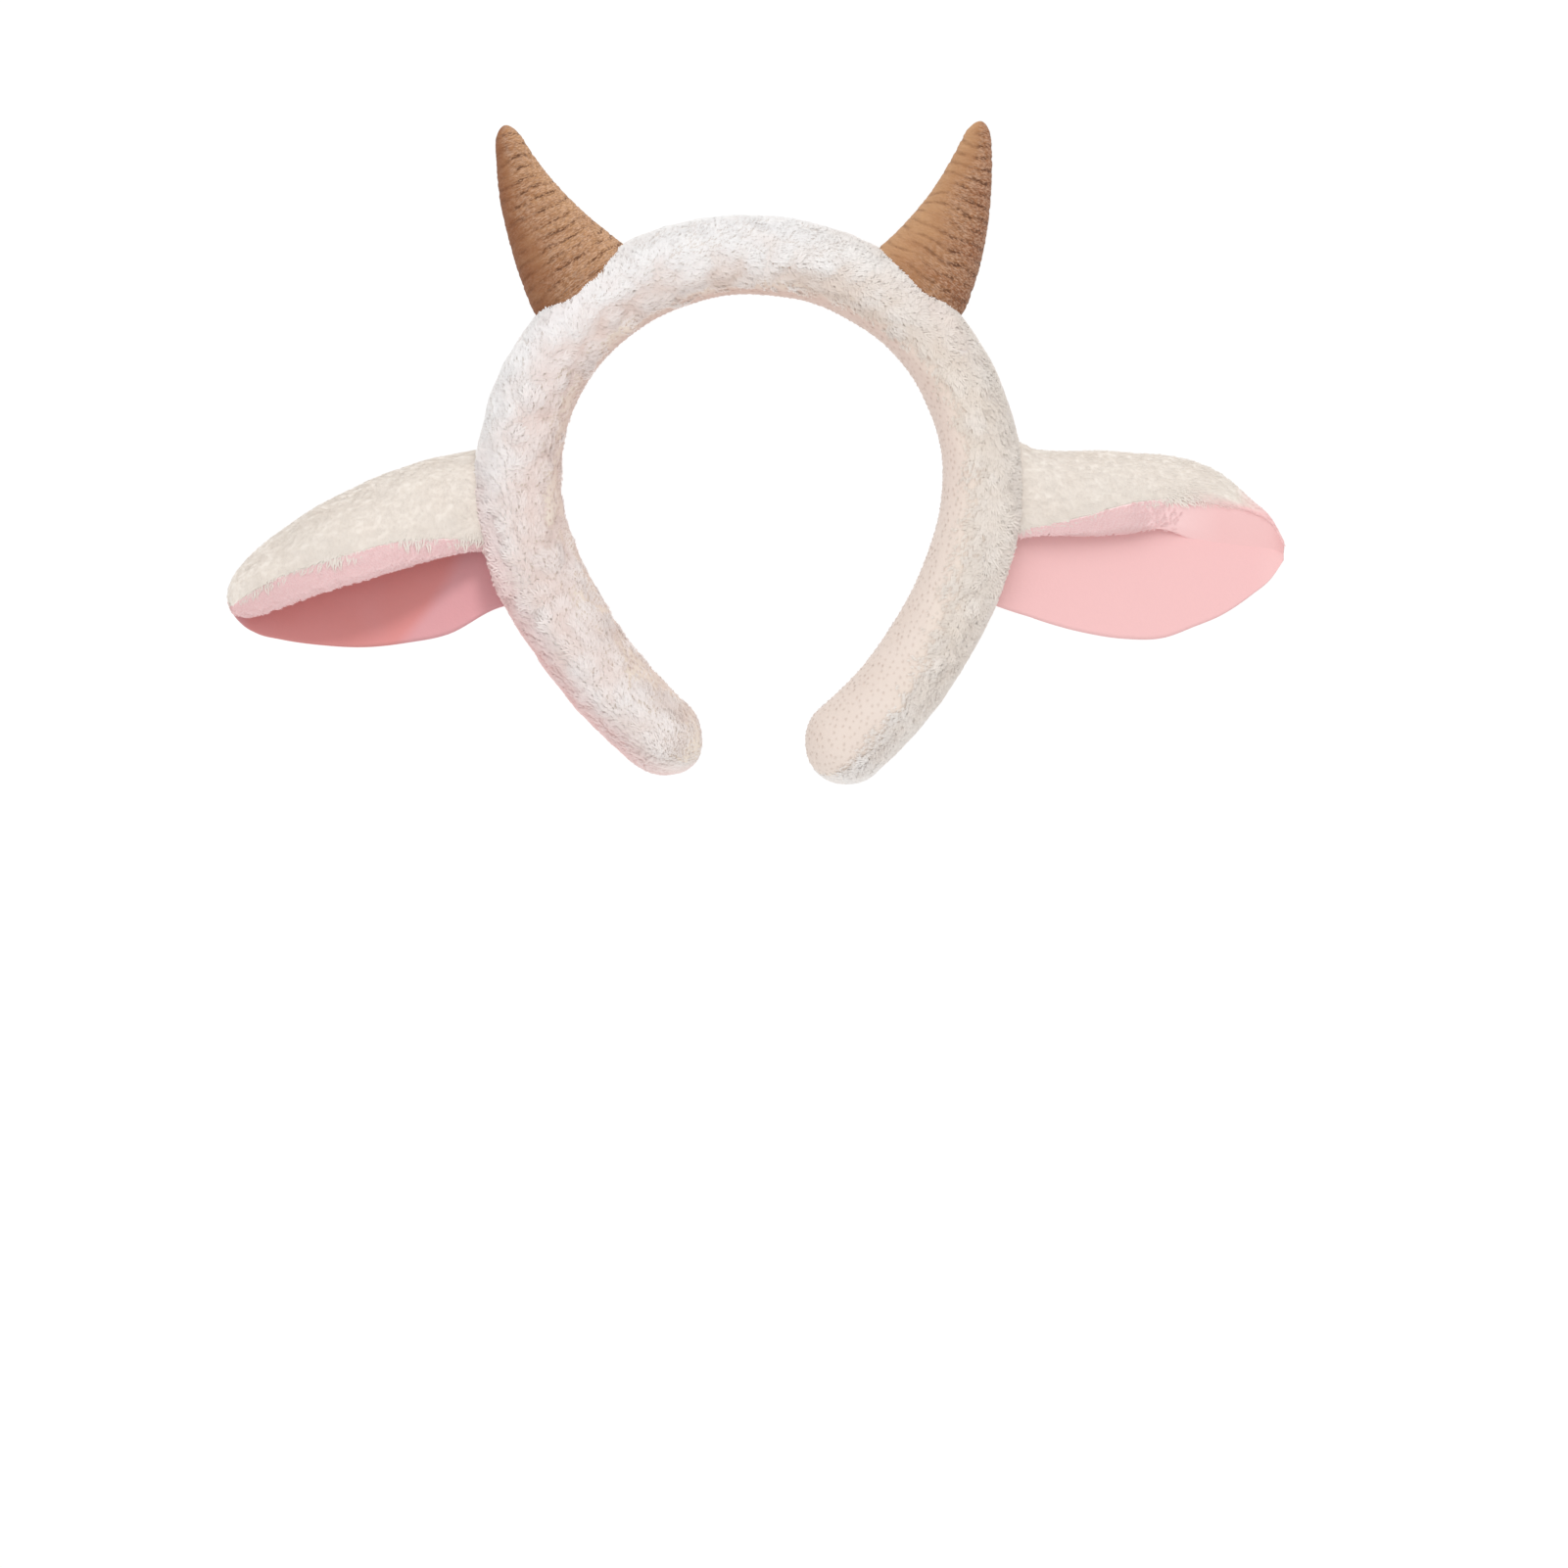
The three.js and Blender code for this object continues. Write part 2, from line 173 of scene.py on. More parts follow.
def unevenness(points, size, seed):
    """Soft random heights between about -1 and 1 at each point, in lumps of that size."""
    shift = Vector((seed * 17.3, seed * 5.1, seed * 9.7))
    heights = [noise.noise(Vector(p) / size + shift) for p in points.reshape(-1, 3)]
    return 1.6 * np.array(heights).reshape(points.shape[:-1])


SWELL, PUFF, CURL = 18.0, 12.0, 7.5


def lumps(points, size, seed, rounded):
    """Lumps of that size, about level on the whole; rounded softens the creases between them."""
    return np.sqrt(unevenness(points, size, seed) ** 2 + rounded) - 0.43


def clumps(points, past_seam):
    """Heights in millimetres of what brushed fleece gathers into: wide swells, puffs with creases between
    them, and smaller curls towards the head side. past_seam is in degrees."""
    inner = ramp(past_seam, -40, -10)
    puffs = (1.0 - 0.1 * inner) * lumps(points, PUFF, seed=2, rounded=0.05)
    curls = (0.2 + 1.1 * inner) * lumps(points, CURL, seed=3, rounded=0.04)
    return 0.35 * unevenness(points, SWELL, seed=1) + puffs + curls


# Share of the way from the crown to each end, how far the pile is brushed over the lining there, over how
# much of that it thins out, both in degrees, and how high its clumps stand
BRUSHED = np.array([
    (-1.0, 105.0, 62.0, 1.3),
    (-0.7, 100.0, 60.0, 1.5),
    (-0.4, 80.0, 48.0, 1.6),
    (-0.15, 62.0, 30.0, 1.6),
    (0.0, 54.0, 26.0, 1.5),
    (0.25, 44.0, 32.0, 1.0),
    (0.45, 42.0, 42.0, 0.95),
    (0.72, 40.0, 44.0, 1.1),
    (1.0, 16.0, 30.0, 0.2),
])


def brushed(travel, past_seam):
    """How thickly the pile lies, from 1 on the fleece to 0 past its edge, and how high its clumps are."""
    over, fade, high = smooth(BRUSHED[:, 0], BRUSHED[:, 1:], from_crown(travel).ravel()).T
    thick = (over.reshape(travel.shape) - past_seam) / fade.reshape(travel.shape)
    return thick, high.reshape(travel.shape)


def full_length(degrees):
    """Share of the pile's length: rubbed shorter on the outer side than on the front and the head side."""
    return 1 - 0.5 * ramp(degrees, 28, -10)


def band_inset(points, travel, degrees):
    """How far the cloth's back lies under the hoop's outer surface: clumped under long pile, smooth under the
    lining's short nap, with a soft change where the pile is brushed over the seam."""
    past_seam = degrees - seam_angle(travel)
    thick, high = brushed(travel, past_seam)
    clumped = np.clip(0.3 + thick, 0, 1)
    high = high * (0.4 + 0.6 * ramp(degrees, 5, 50))
    drawn_smooth = 0.4 + 0.25 * unevenness(points, size=17.0, seed=6)
    under_clumps = PILE_ROOT * full_length(degrees) - high * clumps(points, past_seam)
    return clumped * under_clumps + (1 - clumped) * drawn_smooth


def placed(name, data):
    """A new object in the scene."""
    made = bpy.data.objects.new(name, data)
    bpy.context.scene.collection.objects.link(made)
    return made


def skinned(name, rows, closed=True):
    """A mesh over rows of points in millimetres: a solid with capped ends, or a sheet if not closed."""
    count, width = rows.shape[:2]
    spans = width if closed else width - 1
    faces = []
    for i in range(count - 1):
        for j in range(spans):
            k = (j + 1) % width
            faces.append((i * width + j, i * width + k, (i + 1) * width + k, (i + 1) * width + j))
    if closed:
        faces.append(tuple(range(width))[::-1])
        faces.append(tuple(range((count - 1) * width, count * width)))
    mesh = bpy.data.meshes.new(name)
    mesh.from_pydata((rows.reshape(-1, 3) * MM).tolist(), [], faces)
    if closed:
        p = rows.reshape(-1, 3)
        fans = [(f[0], f[k], f[k + 1]) for f in faces for k in range(1, len(f) - 1)]
        a, b, c = (p[list(column)] for column in zip(*fans))
        if np.einsum("ij,ij->", a, np.cross(b, c)) < 0:
            mesh.flip_normals()
    mesh.shade_smooth()
    return placed(name, mesh)


def set_attribute(mesh, name, values, kind="FLOAT"):
    field = "vector" if kind == "FLOAT_VECTOR" else "value"
    made = mesh.attributes.new(name, kind, "POINT")
    made.data.foreach_set(field, np.asarray(values, np.float32).ravel())


def painted_pink_at(travel, degrees):
    """How far the fleece is painted pink: a painted pink reflection along the outer edge of the left arm, and
    a faint pink by the roots of the horns."""
    along = from_crown(travel)
    on_arm = near(along, -0.76, 0.14, 2) * near(degrees, 10, 45, 1.2)
    by_horns = near(np.abs(along), 0.27, 0.1) * near(degrees, 60, 35)
    return 0.7 * on_arm + 0.1 * by_horns


def painted_shade_at(points, travel, past_seam):
    """How much painted shade the fleece gets, darker and warmer: most between its clumps and on the head
    side, which faces away from the light, and some towards the arms.
    """
    along = from_crown(travel)
    deep = np.clip(0.2 - 0.6 * clumps(points, past_seam), 0, 0.45)
    inner = np.interp(np.abs(along), (0.3, 0.6), (0.85, 0.4)) * ramp(past_seam, -50, -10)
    head_side = np.interp(along, (-1, -0.65, -0.45, 0, 0.2, 0.45), (0.0, 0.1, 0.5, 0.5, 0.3, 0.0))
    toward_arms = np.interp(along, (-0.65, -0.35, 0.1, 0.35, 0.75, 1), (0.4, 0.0, 0.0, 0.35, 0.35, 0.1))
    return (0.15 + inner) * deep + head_side * ramp(past_seam, -30, 10) + toward_arms


around = np.linspace(-BACK_SEAM, 360 - BACK_SEAM, HOOP_COLUMNS + 1)[:-1]
travel_grid, angle_grid = np.meshgrid(ends_eased(HOOP_STATIONS), around, indexing="ij")
inset = band_inset(hoop_surface(travel_grid, angle_grid), travel_grid, angle_grid)
inset += SUNK_UNDER_LINING * ramp(angle_grid - seam_angle(travel_grid), -4, 2)
band_cover = skinned("band_fleece_back", hoop_surface(travel_grid, angle_grid, inset))
set_attribute(band_cover.data, "blush", painted_pink_at(travel_grid, angle_grid))


def linear(hex_colour):
    """An sRGB hex colour as linear red, green, blue and full alpha."""
    parts = [int(hex_colour[i:i + 2], 16) / 255 for i in (1, 3, 5)]
    return tuple(c / 12.92 if c <= 0.04045 else ((c + 0.055) / 1.055) ** 2.4 for c in parts) + (1.0,)


def add(tree, kind, inputs=None, **settings):
    """Adds a node, with its settings and with values or links for its inputs."""
    made = tree.nodes.new(kind)
    for key, value in settings.items():
        setattr(made, key, value)
    for key, value in (inputs or {}).items():
        if isinstance(value, bpy.types.NodeSocket):
            tree.links.new(value, made.inputs[key])
        else:
            made.inputs[key].default_value = value
    return made


def new_material(name):
    material = bpy.data.materials.new(name)
    material.use_nodes = True
    material.node_tree.nodes.clear()
    return material, material.node_tree


def carried(tree, name):
    """The value that the mesh carries under that name."""
    return add(tree, "ShaderNodeAttribute", attribute_name=name).outputs["Fac"]


def mixed(tree, share, first, second):
    """From the first colour at share 0 to the second at 1. Each is a hex colour or another node's."""
    first, second = (linear(c) if isinstance(c, str) else c for c in (first, second))
    return add(tree, "ShaderNodeMix", {"Factor": share, 6: first, 7: second}, data_type="RGBA").outputs[2]


def surfaced(tree, colour, **inputs):
    """Ends a material with a surface of that colour; the inputs' names have _ for a space."""
    inputs = {key.replace("_", " "): value for key, value in inputs.items()}
    shader = add(tree, "ShaderNodeBsdfPrincipled", {"Base Color": colour, **inputs})
    add(tree, "ShaderNodeOutputMaterial", {"Surface": shader.outputs[0]})


# The fleece's knitted back: plain polyester jersey, dull from the shade among the fibres that stand on it.
FLEECE_BACK, FLEECE_PAINTED_PINK = "#EAE3DE", "#F4C2BF"
knit, tree = new_material("polyester_jersey_back")
# The knitted back takes the same painted pink reflection as the pile.
shade = mixed(tree, carried(tree, "blush"), FLEECE_BACK, FLEECE_PAINTED_PINK)
surfaced(tree, shade, Roughness=0.95, Sheen_Weight=0.1, Specular_IOR_Level=0.1)
band_cover.data.materials.append(knit)
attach(band_cover, "root")
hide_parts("band_cover")


# The fleece's pile. Short crimped fibres stand in small tufts on the knitted back, lie over together in soft
# locks, and thin out over the lining where the two cloths are sewn together.
FLEECE_TUFT = {"fibres": 6, "run": 2.3, "rise": 0.85, "splay": 45, "width": 0.3}
FLEECE_TUFTS_EACH = 12000
FLEECE_LOCK, FLEECE_STRAY = 6.0, 2.6  # a lock's size, and how far it strays from the way it is combed
FLEECE_STATIONS, FLEECE_COLUMNS = 110, 60
SOFTNESS = 0.9  # how far light treats a fibre as part of the surface that it grows from
ROOTS_TRIED = 2.2  # for each tuft that finds room
ROOM = 0.75  # least distance of two roots, as a share of the mean one
OVER_TABLE = 0.05  # least height of a fibre
HANG = 2.0  # how strongly it hangs down on steep places
TUFT_TURN = 0.6  # radians that a tuft may turn away from its lock
TUFT_LENGTHS = (0.7, 1.2)
END_FADE = 9.0  # stretch at each end of the hoop over which the pile gets shorter
# How strongly the pile is combed along the hoop, over the seam, and out over the roots of the horns and ears
COMBED = {"along": 0.8, "over_seam": 0.6, "over_horns": 1.2, "over_ears": 1.5}
HORN_ROOM, EAR_ROOM = 18, 24  # how far to each side of a root its fleece is combed out
HORN_ANGLES = (131.0, 48.6)
EAR_ROOTS = (-83.0, -27.0), (79.7, -25.4)


def tuft_mesh(name, fibres, run, rise, splay, width, seed):
    """A few tapered fibres from about one root that rise and arch over forwards along x. Each is one quad and
    a pointed tip, with a cell of its own in the map for baked colour."""
    random = np.random.default_rng(seed)
    verts, faces, reach, cells = [], [], [], []
    for j in range(fibres):
        yaw = math.radians(random.uniform(-splay, splay))
        ahead = np.array([math.cos(yaw), math.sin(yaw), 0.0])
        side = np.array([-ahead[1], ahead[0], 0.0])
        root = np.array([*random.uniform(-0.3, 0.3, 2) * run, -0.1])
        far, tall = run * random.uniform(0.6, 1.1), rise * random.uniform(0.6, 1.15)
        start, tip_height = len(verts), random.uniform(0.0, 0.6)
        # Root, arch and tip, as shares of the run, width and rise
        for u, wide, high in ((0.0, 1.0, 0.0), (0.5, 0.85, 1.0), (1.0, 0.0, tip_height)):
            middle = root + ahead * far * u + np.array([0, 0, tall * high])
            sides = (-0.5, 0.5) if wide else (0.0,)
            verts += [middle + side * width * wide * s for s in sides]
            reach += [u] * len(sides)
            cells += [((j + 0.5 + 0.8 * s) / fibres, 0.05 + 0.9 * u) for s in sides]
        faces += [(start, start + 2, start + 3, start + 1), (start + 2, start + 4, start + 3)]
    mesh = bpy.data.meshes.new(name)
    mesh.from_pydata((np.array(verts) * MM).tolist(), [], faces)
    set_attribute(mesh, "tip", reach)
    layout = mesh.uv_layers.new(name="OFBake")
    for corner in mesh.loops:
        layout.data[corner.index].uv = cells[corner.vertex_index]
    mesh.shade_smooth()
    return mesh


def sums(tree, operation, *values, **settings):
    """The result of a sum on values or other nodes' results."""
    return add(tree, "ShaderNodeMath", dict(enumerate(values)), operation=operation, **settings).outputs[0]


def vector_sums(tree, operation, first, second):
    """The same on vectors. SCALE takes a number as its second."""
    key = "Scale" if operation == "SCALE" else 1
    return add(tree, "ShaderNodeVectorMath", {0: first, key: second}, operation=operation).outputs[0]


def pile_tree():
    """Geometry nodes that lay tufts all over a ground mesh, by its fields "lie", "long" and "thick" and by
    soft random locks, and give each tuft a cell of its own in the map for baked colour."""
    tree = bpy.data.node_groups.new("pile", "GeometryNodeTree")
    sockets = (
        ("Ground", "Geometry"), ("Tuft", "Object"), ("Tufts per square metre", "Float"),
        ("Least distance", "Float"), ("Lock size", "Float"), ("Stray", "Float"), ("Seed", "Int"),
        ("Cloth", "Material"),
    )
    for name, kind in sockets:
        tree.interface.new_socket(name, in_out="INPUT", socket_type="NodeSocket" + kind)
    tree.interface.new_socket("Pile", in_out="OUTPUT", socket_type="NodeSocketGeometry")
    given = tree.nodes.new("NodeGroupInput").outputs
    field = {}
    for name in ("lie", "long", "thick", "cell", "OFBake", "stand"):
        kind = "FLOAT" if name in ("long", "thick", "cell") else "FLOAT_VECTOR"
        node = add(tree, "GeometryNodeInputNamedAttribute", {"Name": name}, data_type=kind)
        field[name] = node.outputs["Attribute"]

    def stored(geometry, name, value, data_type, domain):
        return add(tree, "GeometryNodeStoreNamedAttribute", {
            "Geometry": geometry, "Name": name, "Value": value,
        }, data_type=data_type, domain=domain).outputs[0]

    def chance(low, high):
        return add(tree, "FunctionNodeRandomValue", {
            2: low, 3: high, "Seed": given["Seed"],
        }, data_type="FLOAT").outputs[1]

    # Roots, and which way each tuft lies over
    roots = add(tree, "GeometryNodeDistributePointsOnFaces", {
        "Mesh": given["Ground"], "Distance Min": given["Least distance"], "Density Factor": field["thick"],
        "Density Max": given["Tufts per square metre"], "Seed": given["Seed"],
    }, distribute_method="POISSON").outputs
    swirl = add(tree, "ShaderNodeTexNoise", {
        "Vector": add(tree, "GeometryNodeInputPosition").outputs[0],
        "Scale": sums(tree, "DIVIDE", 1.0, given["Lock size"]), "Detail": 1.0,
    })
    stray = vector_sums(tree, "SUBTRACT", swirl.outputs["Color"], (0.5, 0.5, 0.5))
    lie = vector_sums(tree, "ADD", field["lie"], vector_sums(tree, "SCALE", stray, given["Stray"]))
    stand = add(tree, "FunctionNodeAlignRotationToVector", {"Vector": roots["Normal"]}, axis="Z")
    laid = add(tree, "FunctionNodeAlignRotationToVector", {
        "Rotation": stand.outputs[0], "Vector": lie,
    }, axis="X", pivot_axis="Z")
    turn = add(tree, "FunctionNodeAxisAngleToRotation", {"Angle": chance(-TUFT_TURN, TUFT_TURN)})
    laid = add(tree, "FunctionNodeRotateRotation", {
        0: laid.outputs[0], 1: turn.outputs[0],
    }, rotation_space="LOCAL")

    # Tufts on the roots, each with its number
    sample = add(tree, "GeometryNodeObjectInfo", {"Object": given["Tuft"]})
    tufts = add(tree, "GeometryNodeInstanceOnPoints", {
        "Points": stored(roots["Points"], "stand", roots["Normal"], "FLOAT_VECTOR", "POINT"),
        "Instance": sample.outputs["Geometry"], "Rotation": laid.outputs[0],
        "Scale": sums(tree, "MULTIPLY", field["long"], chance(*TUFT_LENGTHS)),
    })
    number = add(tree, "GeometryNodeInputIndex").outputs[0]
    tufts = stored(tufts.outputs[0], "cell", number, "FLOAT", "INSTANCE")
    made = add(tree, "GeometryNodeRealizeInstances", {"Geometry": tufts}).outputs[0]

    # A square of cells for baked colour, one for each tuft
    count = add(tree, "GeometryNodeAttributeDomainSize", {
        "Geometry": roots["Points"],
    }, component="POINTCLOUD").outputs["Point Count"]
    a_side = sums(tree, "CEIL", sums(tree, "SQRT", count))
    column = sums(tree, "MODULO", field["cell"], a_side)
    row = sums(tree, "FLOOR", sums(tree, "DIVIDE", field["cell"], a_side))
    corner = add(tree, "ShaderNodeCombineXYZ", {"X": column, "Y": row}).outputs[0]
    mapped = vector_sums(tree, "ADD", field["OFBake"], corner)
    mapped = vector_sums(tree, "SCALE", mapped, sums(tree, "DIVIDE", 1.0, a_side))
    made = stored(made, "OFBake", mapped, "FLOAT2", "CORNER")

    # Fibres that show their back from above are turned over
    facing = add(tree, "ShaderNodeVectorMath", {
        0: add(tree, "GeometryNodeInputNormal").outputs[0],
        1: vector_sums(tree, "ADD", field["stand"], (0.0, 0.0, 0.4)),
    }, operation="DOT_PRODUCT")
    turned_away = add(tree, "FunctionNodeCompare", {
        0: facing.outputs["Value"], 1: 0.0,
    }, data_type="FLOAT", operation="LESS_THAN")
    made = add(tree, "GeometryNodeFlipFaces", {"Mesh": made, "Selection": turned_away.outputs[0]})
    dressed = add(tree, "GeometryNodeSetMaterial", {"Geometry": made.outputs[0], "Material": given["Cloth"]})
    add(tree, "NodeGroupOutput", {0: dressed.outputs[0]})
    return tree


PILE = pile_tree()


def grow_pile(name, rows, fields, tuft, tufts, lock, stray, seed, cloth):
    """Pile over rows of root points, as one plain mesh. fields gives each root the way its tuft lies, its
    length as a share of the tuft's, how thickly it grows there, how pink it is painted and how much painted
    shade it gets."""
    ground = skinned(name + "_ground", rows, closed=False)
    set_attribute(ground.data, "lie", fields["lie"], "FLOAT_VECTOR")
    for field in ("long", "thick", "blush", "painted_shade"):
        set_attribute(ground.data, field, np.broadcast_to(fields.get(field, 0.0), rows.shape[:2]))
    sample = placed(name + "_tuft", tuft)
    area = sum(face.area for face in ground.data.polygons)
    settings = {
        "Tuft": sample, "Tufts per square metre": ROOTS_TRIED * tufts / area,
        "Least distance": ROOM * math.sqrt(area / tufts), "Lock size": lock * MM, "Stray": stray,
        "Seed": seed, "Cloth": cloth,
    }
    grower = ground.modifiers.new("pile", "NODES")
    grower.node_group = PILE
    for socket in PILE.interface.items_tree:
        if socket.name in settings:
            grower[socket.identifier] = settings[socket.name]
    graph = bpy.context.evaluated_depsgraph_get()
    mesh = bpy.data.meshes.new_from_object(
        ground.evaluated_get(graph), preserve_all_data_layers=True, depsgraph=graph)
    mesh.name = name
    stand, own = np.empty((2, len(mesh.vertices) * 3), np.float32)
    mesh.attributes["stand"].data.foreach_get("vector", stand)
    mesh.vertex_normals.foreach_get("vector", own)
    softened = SOFTNESS * stand + (1 - SOFTNESS) * own
    mesh.normals_split_custom_set_from_vertices(softened.reshape(-1, 3).tolist())
    for spare in ("lie", "long", "thick", "cell", "stand"):
        if spare in mesh.attributes:
            mesh.attributes.remove(mesh.attributes[spare])
    places = np.empty(len(mesh.vertices) * 3, np.float32)
    mesh.vertices.foreach_get("co", places)
    places[2::3] = np.maximum(places[2::3], OVER_TABLE * MM)
    mesh.vertices.foreach_set("co", places)
    pile = placed(name, mesh)
    bpy.data.objects.remove(ground)
    bpy.data.objects.remove(sample)
    return pile


def hanging(rows):
    """How far the pile hangs down at each root: on steep places it lies over under its own weight."""
    normal = directions(np.cross(np.gradient(rows, axis=0), np.gradient(rows, axis=1)))
    steep = ramp(np.abs(normal[:, :, 2]), 0.6, 0.2)
    return np.multiply.outer(steep, np.array([0.0, 0.0, -HANG]))


def clear_of_table(rows, least):
    """Share of its length that the pile keeps: it is flattened by the table that the hoop lies on."""
    return np.clip((rows[:, :, 2] - 1) / 3, least, 1)


def at_angle(degrees):
    """The direction at that angle from x, in the plane of the hoop."""
    return np.array([math.cos(math.radians(degrees)), math.sin(math.radians(degrees))])


def fleece_field(start, end):
    """Root points of the band's pile over one stretch of the hoop, and its fields."""
    stretch = ends_eased(400)
    stretch = stretch[(stretch >= start) & (stretch <= end)]
    stretch = np.interp(np.linspace(0, 1, FLEECE_STATIONS), np.linspace(0, 1, len(stretch)), stretch)
    grid = np.repeat(stretch[:, None], FLEECE_COLUMNS, axis=1)
    seam = seam_angle(stretch)[:, None]
    over = smooth(BRUSHED[:, 0], BRUSHED[:, 1], from_crown(stretch))[:, None]
    degrees = -BACK_SEAM + np.linspace(0, 1, FLEECE_COLUMNS)[None, :] * (seam + over + BACK_SEAM)
    past_seam = degrees - seam
    surface = hoop_surface(grid, degrees)
    inset = band_inset(surface, grid, degrees)
    roots = hoop_surface(grid, degrees, inset)

    # Combed along the hoop, over the seam, and away from it over the roots of the horns and ears
    round_section = directions(hoop_surface(grid, degrees + 4, inset) - roots)
    lie = COMBED["over_seam"] * round_section * ramp(past_seam, -25, 0)[:, :, None] + hanging(roots)
    lie[:, :, :2] += COMBED["along"] * read_along(grid.ravel(), TRAVEL, HEADING).reshape(*grid.shape, 2)
    long = 1.0 + 0.25 * unevenness(surface, size=5.0, seed=5)
    from_centre = surface[:, :, :2] - HOOP_CENTRE
    for angle in HORN_ANGLES:
        outward = at_angle(angle)
        sideways = np.array([-outward[1], outward[0]])
        by_horn = near(from_centre @ sideways, 0, HORN_ROOM, 1.6) * (from_centre @ outward > 0)
        by_horn *= near(degrees, 45, 60)
        lie[:, :, :2] += COMBED["over_horns"] * by_horn[:, :, None] * outward
        long += 0.4 * by_horn
    for x, y in EAR_ROOTS:
        by_ear = near(surface[:, :, 1], y, EAR_ROOM, 1.6) * (surface[:, :, 0] * x > 0)
        by_ear *= near(degrees, 20, 60)
        lie[:, :, 0] += COMBED["over_ears"] * by_ear * np.sign(x)
        long += by_ear * (1.4 + 0.9 * unevenness(surface, size=4.0, seed=12))

    # Shorter by the table, at the hoop's ends and where it thins out at a ragged edge over the lining
    near_end = np.clip(np.minimum(grid, HOOP_LENGTH - grid) / END_FADE, 0.4, 1.0)
    ragged = np.interp(from_crown(grid), (0.1, 0.4), (0.8, 0.3))
    thin = brushed(grid, past_seam)[0] + ragged * unevenness(surface, size=6.0, seed=4)
    thin = np.clip(thin, 0, 1)
    long += 0.4 * near(past_seam, 0, 30)
    fields = {
        "lie": lie,
        "long": long * clear_of_table(roots, 0.25) * near_end * full_length(degrees) * (0.5 + 0.5 * thin),
        "thick": np.maximum(thin, 0.05), "blush": painted_pink_at(grid, degrees),
        "painted_shade": painted_shade_at(surface, grid, past_seam),
    }
    return roots, fields


def object_place(tree):
    return add(tree, "ShaderNodeTexCoord").outputs["Object"]


def mottling(tree, place, size, detail, **more):
    """Soft random patches, with their size in millimetres."""
    inputs = {"Vector": place, "Scale": 1 / (size * MM), "Detail": detail, **more}
    return add(tree, "ShaderNodeTexNoise", inputs).outputs["Fac"]


def ranged(tree, value, low, high, to_low=0.0, to_high=1.0):
    """A value stretched from one range to another, and held there."""
    inputs = {"Value": value, "From Min": low, "From Max": high, "To Min": to_low, "To Max": to_high}
    return add(tree, "ShaderNodeMapRange", inputs).outputs["Result"]


# Brushed polyester sherpa: fine crimped white fibres that scatter light among themselves, so the surface
# looks matt, bright and soft. It is painted darker and warmer at the fibres' roots, between its clumps and on
# the head side, which is painted shade, and it is creamier to the right.
FLEECE_TIP, FLEECE_SHADED_ROOT = "#FDFBFA", "#EEDAD2"
FLEECE_CREAM_TIP, FLEECE_CREAM_SHADED_ROOT = "#F4EDE6", "#E9DCCF"
fleece, tree = new_material("polyester_sherpa_fleece")
place = object_place(tree)
# Painted shade: the fibres are drawn darker towards their roots.
depth = sums(tree, "MULTIPLY_ADD", carried(tree, "tip"), 0.4, mottling(tree, place, size=9, detail=2.0))
# The painted shade worked out along the hoop pulls the colour further towards the shaded root colour.
depth = sums(tree, "SUBTRACT", sums(tree, "MULTIPLY", depth, 0.6), carried(tree, "painted_shade"))
across = add(tree, "ShaderNodeSeparateXYZ", {0: place}).outputs["X"]
root_shade = mixed(tree, ranged(tree, across, -60 * MM, 60 * MM), FLEECE_SHADED_ROOT, FLEECE_CREAM_SHADED_ROOT)
tip_shade = mixed(tree, ranged(tree, across, 10 * MM, 60 * MM), FLEECE_TIP, FLEECE_CREAM_TIP)
shade = mixed(tree, ranged(tree, depth, -0.5, 0.35), root_shade, tip_shade)
# Painted pink reflection along the left arm's outer edge, and faint pink by the horns' roots.
shade = mixed(tree, carried(tree, "blush"), shade, FLEECE_PAINTED_PINK)
surfaced(tree, shade, Roughness=0.95, Sheen_Weight=0.2, Sheen_Roughness=0.6, Specular_IOR_Level=0.1)
fleece_tuft = tuft_mesh("fleece_tuft", seed=3, **FLEECE_TUFT)
fleece_piles = []
for i, part in enumerate(("left", "crown", "right")):
    rows, fields = fleece_field(HOOP_LENGTH * i / 3, HOOP_LENGTH * (i + 1) / 3)
    pile = grow_pile("band_fleece_" + part, rows, fields, fleece_tuft, FLEECE_TUFTS_EACH,
                     FLEECE_LOCK, FLEECE_STRAY, seed=11 + i, cloth=fleece)
    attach(pile, "root")
    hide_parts("band_cover")
    fleece_piles.append(pile)


# The lining: a strip of smooth cream velour along the head side of the hoop, sewn to the fleece's two edges.
# It is drawn tight over the wadding, so only shallow ripples show under its short nap.
LINING_WALL = 1.4
LINING_TUCK = 8.0  # degrees that it goes on under the fleece at each seam
LINING_STATIONS, LINING_COLUMNS = 230, 41
LINING_NAP_TUFTS = 4200
NAP_LENGTH = 0.42  # as a share of the fleece's
LINING_LOCK, LINING_STRAY = 9.0, 1.5


def there_and_back(outer, inner):
    """Closed rows from outer and inner ones: along the one and back along the other."""
    return np.concatenate([outer, inner[:, ::-1]], axis=1)


lining_share = np.linspace(0, 1, LINING_COLUMNS)
stretch = ends_eased(LINING_STATIONS)
lining_travel = np.repeat(stretch[:, None], LINING_COLUMNS, axis=1)
seam = seam_angle(stretch)[:, None]
first_edge, last_edge = seam - LINING_TUCK, 360 - BACK_SEAM + LINING_TUCK
lining_angle = first_edge + lining_share[None, :] * (last_edge - first_edge)
edge = ramp(np.minimum(lining_share, 1 - lining_share), 0, 0.1)[None, :]
edge = edge * edge * (3 - 2 * edge)
sunk = band_inset(hoop_surface(lining_travel, lining_angle), lining_travel, lining_angle)
sunk = sunk + 0.05 + 0.5 * (1 - edge) * (lining_share > 0.5)
outer = hoop_surface(lining_travel, lining_angle, sunk)
inner = hoop_surface(lining_travel, lining_angle, sunk + LINING_WALL)
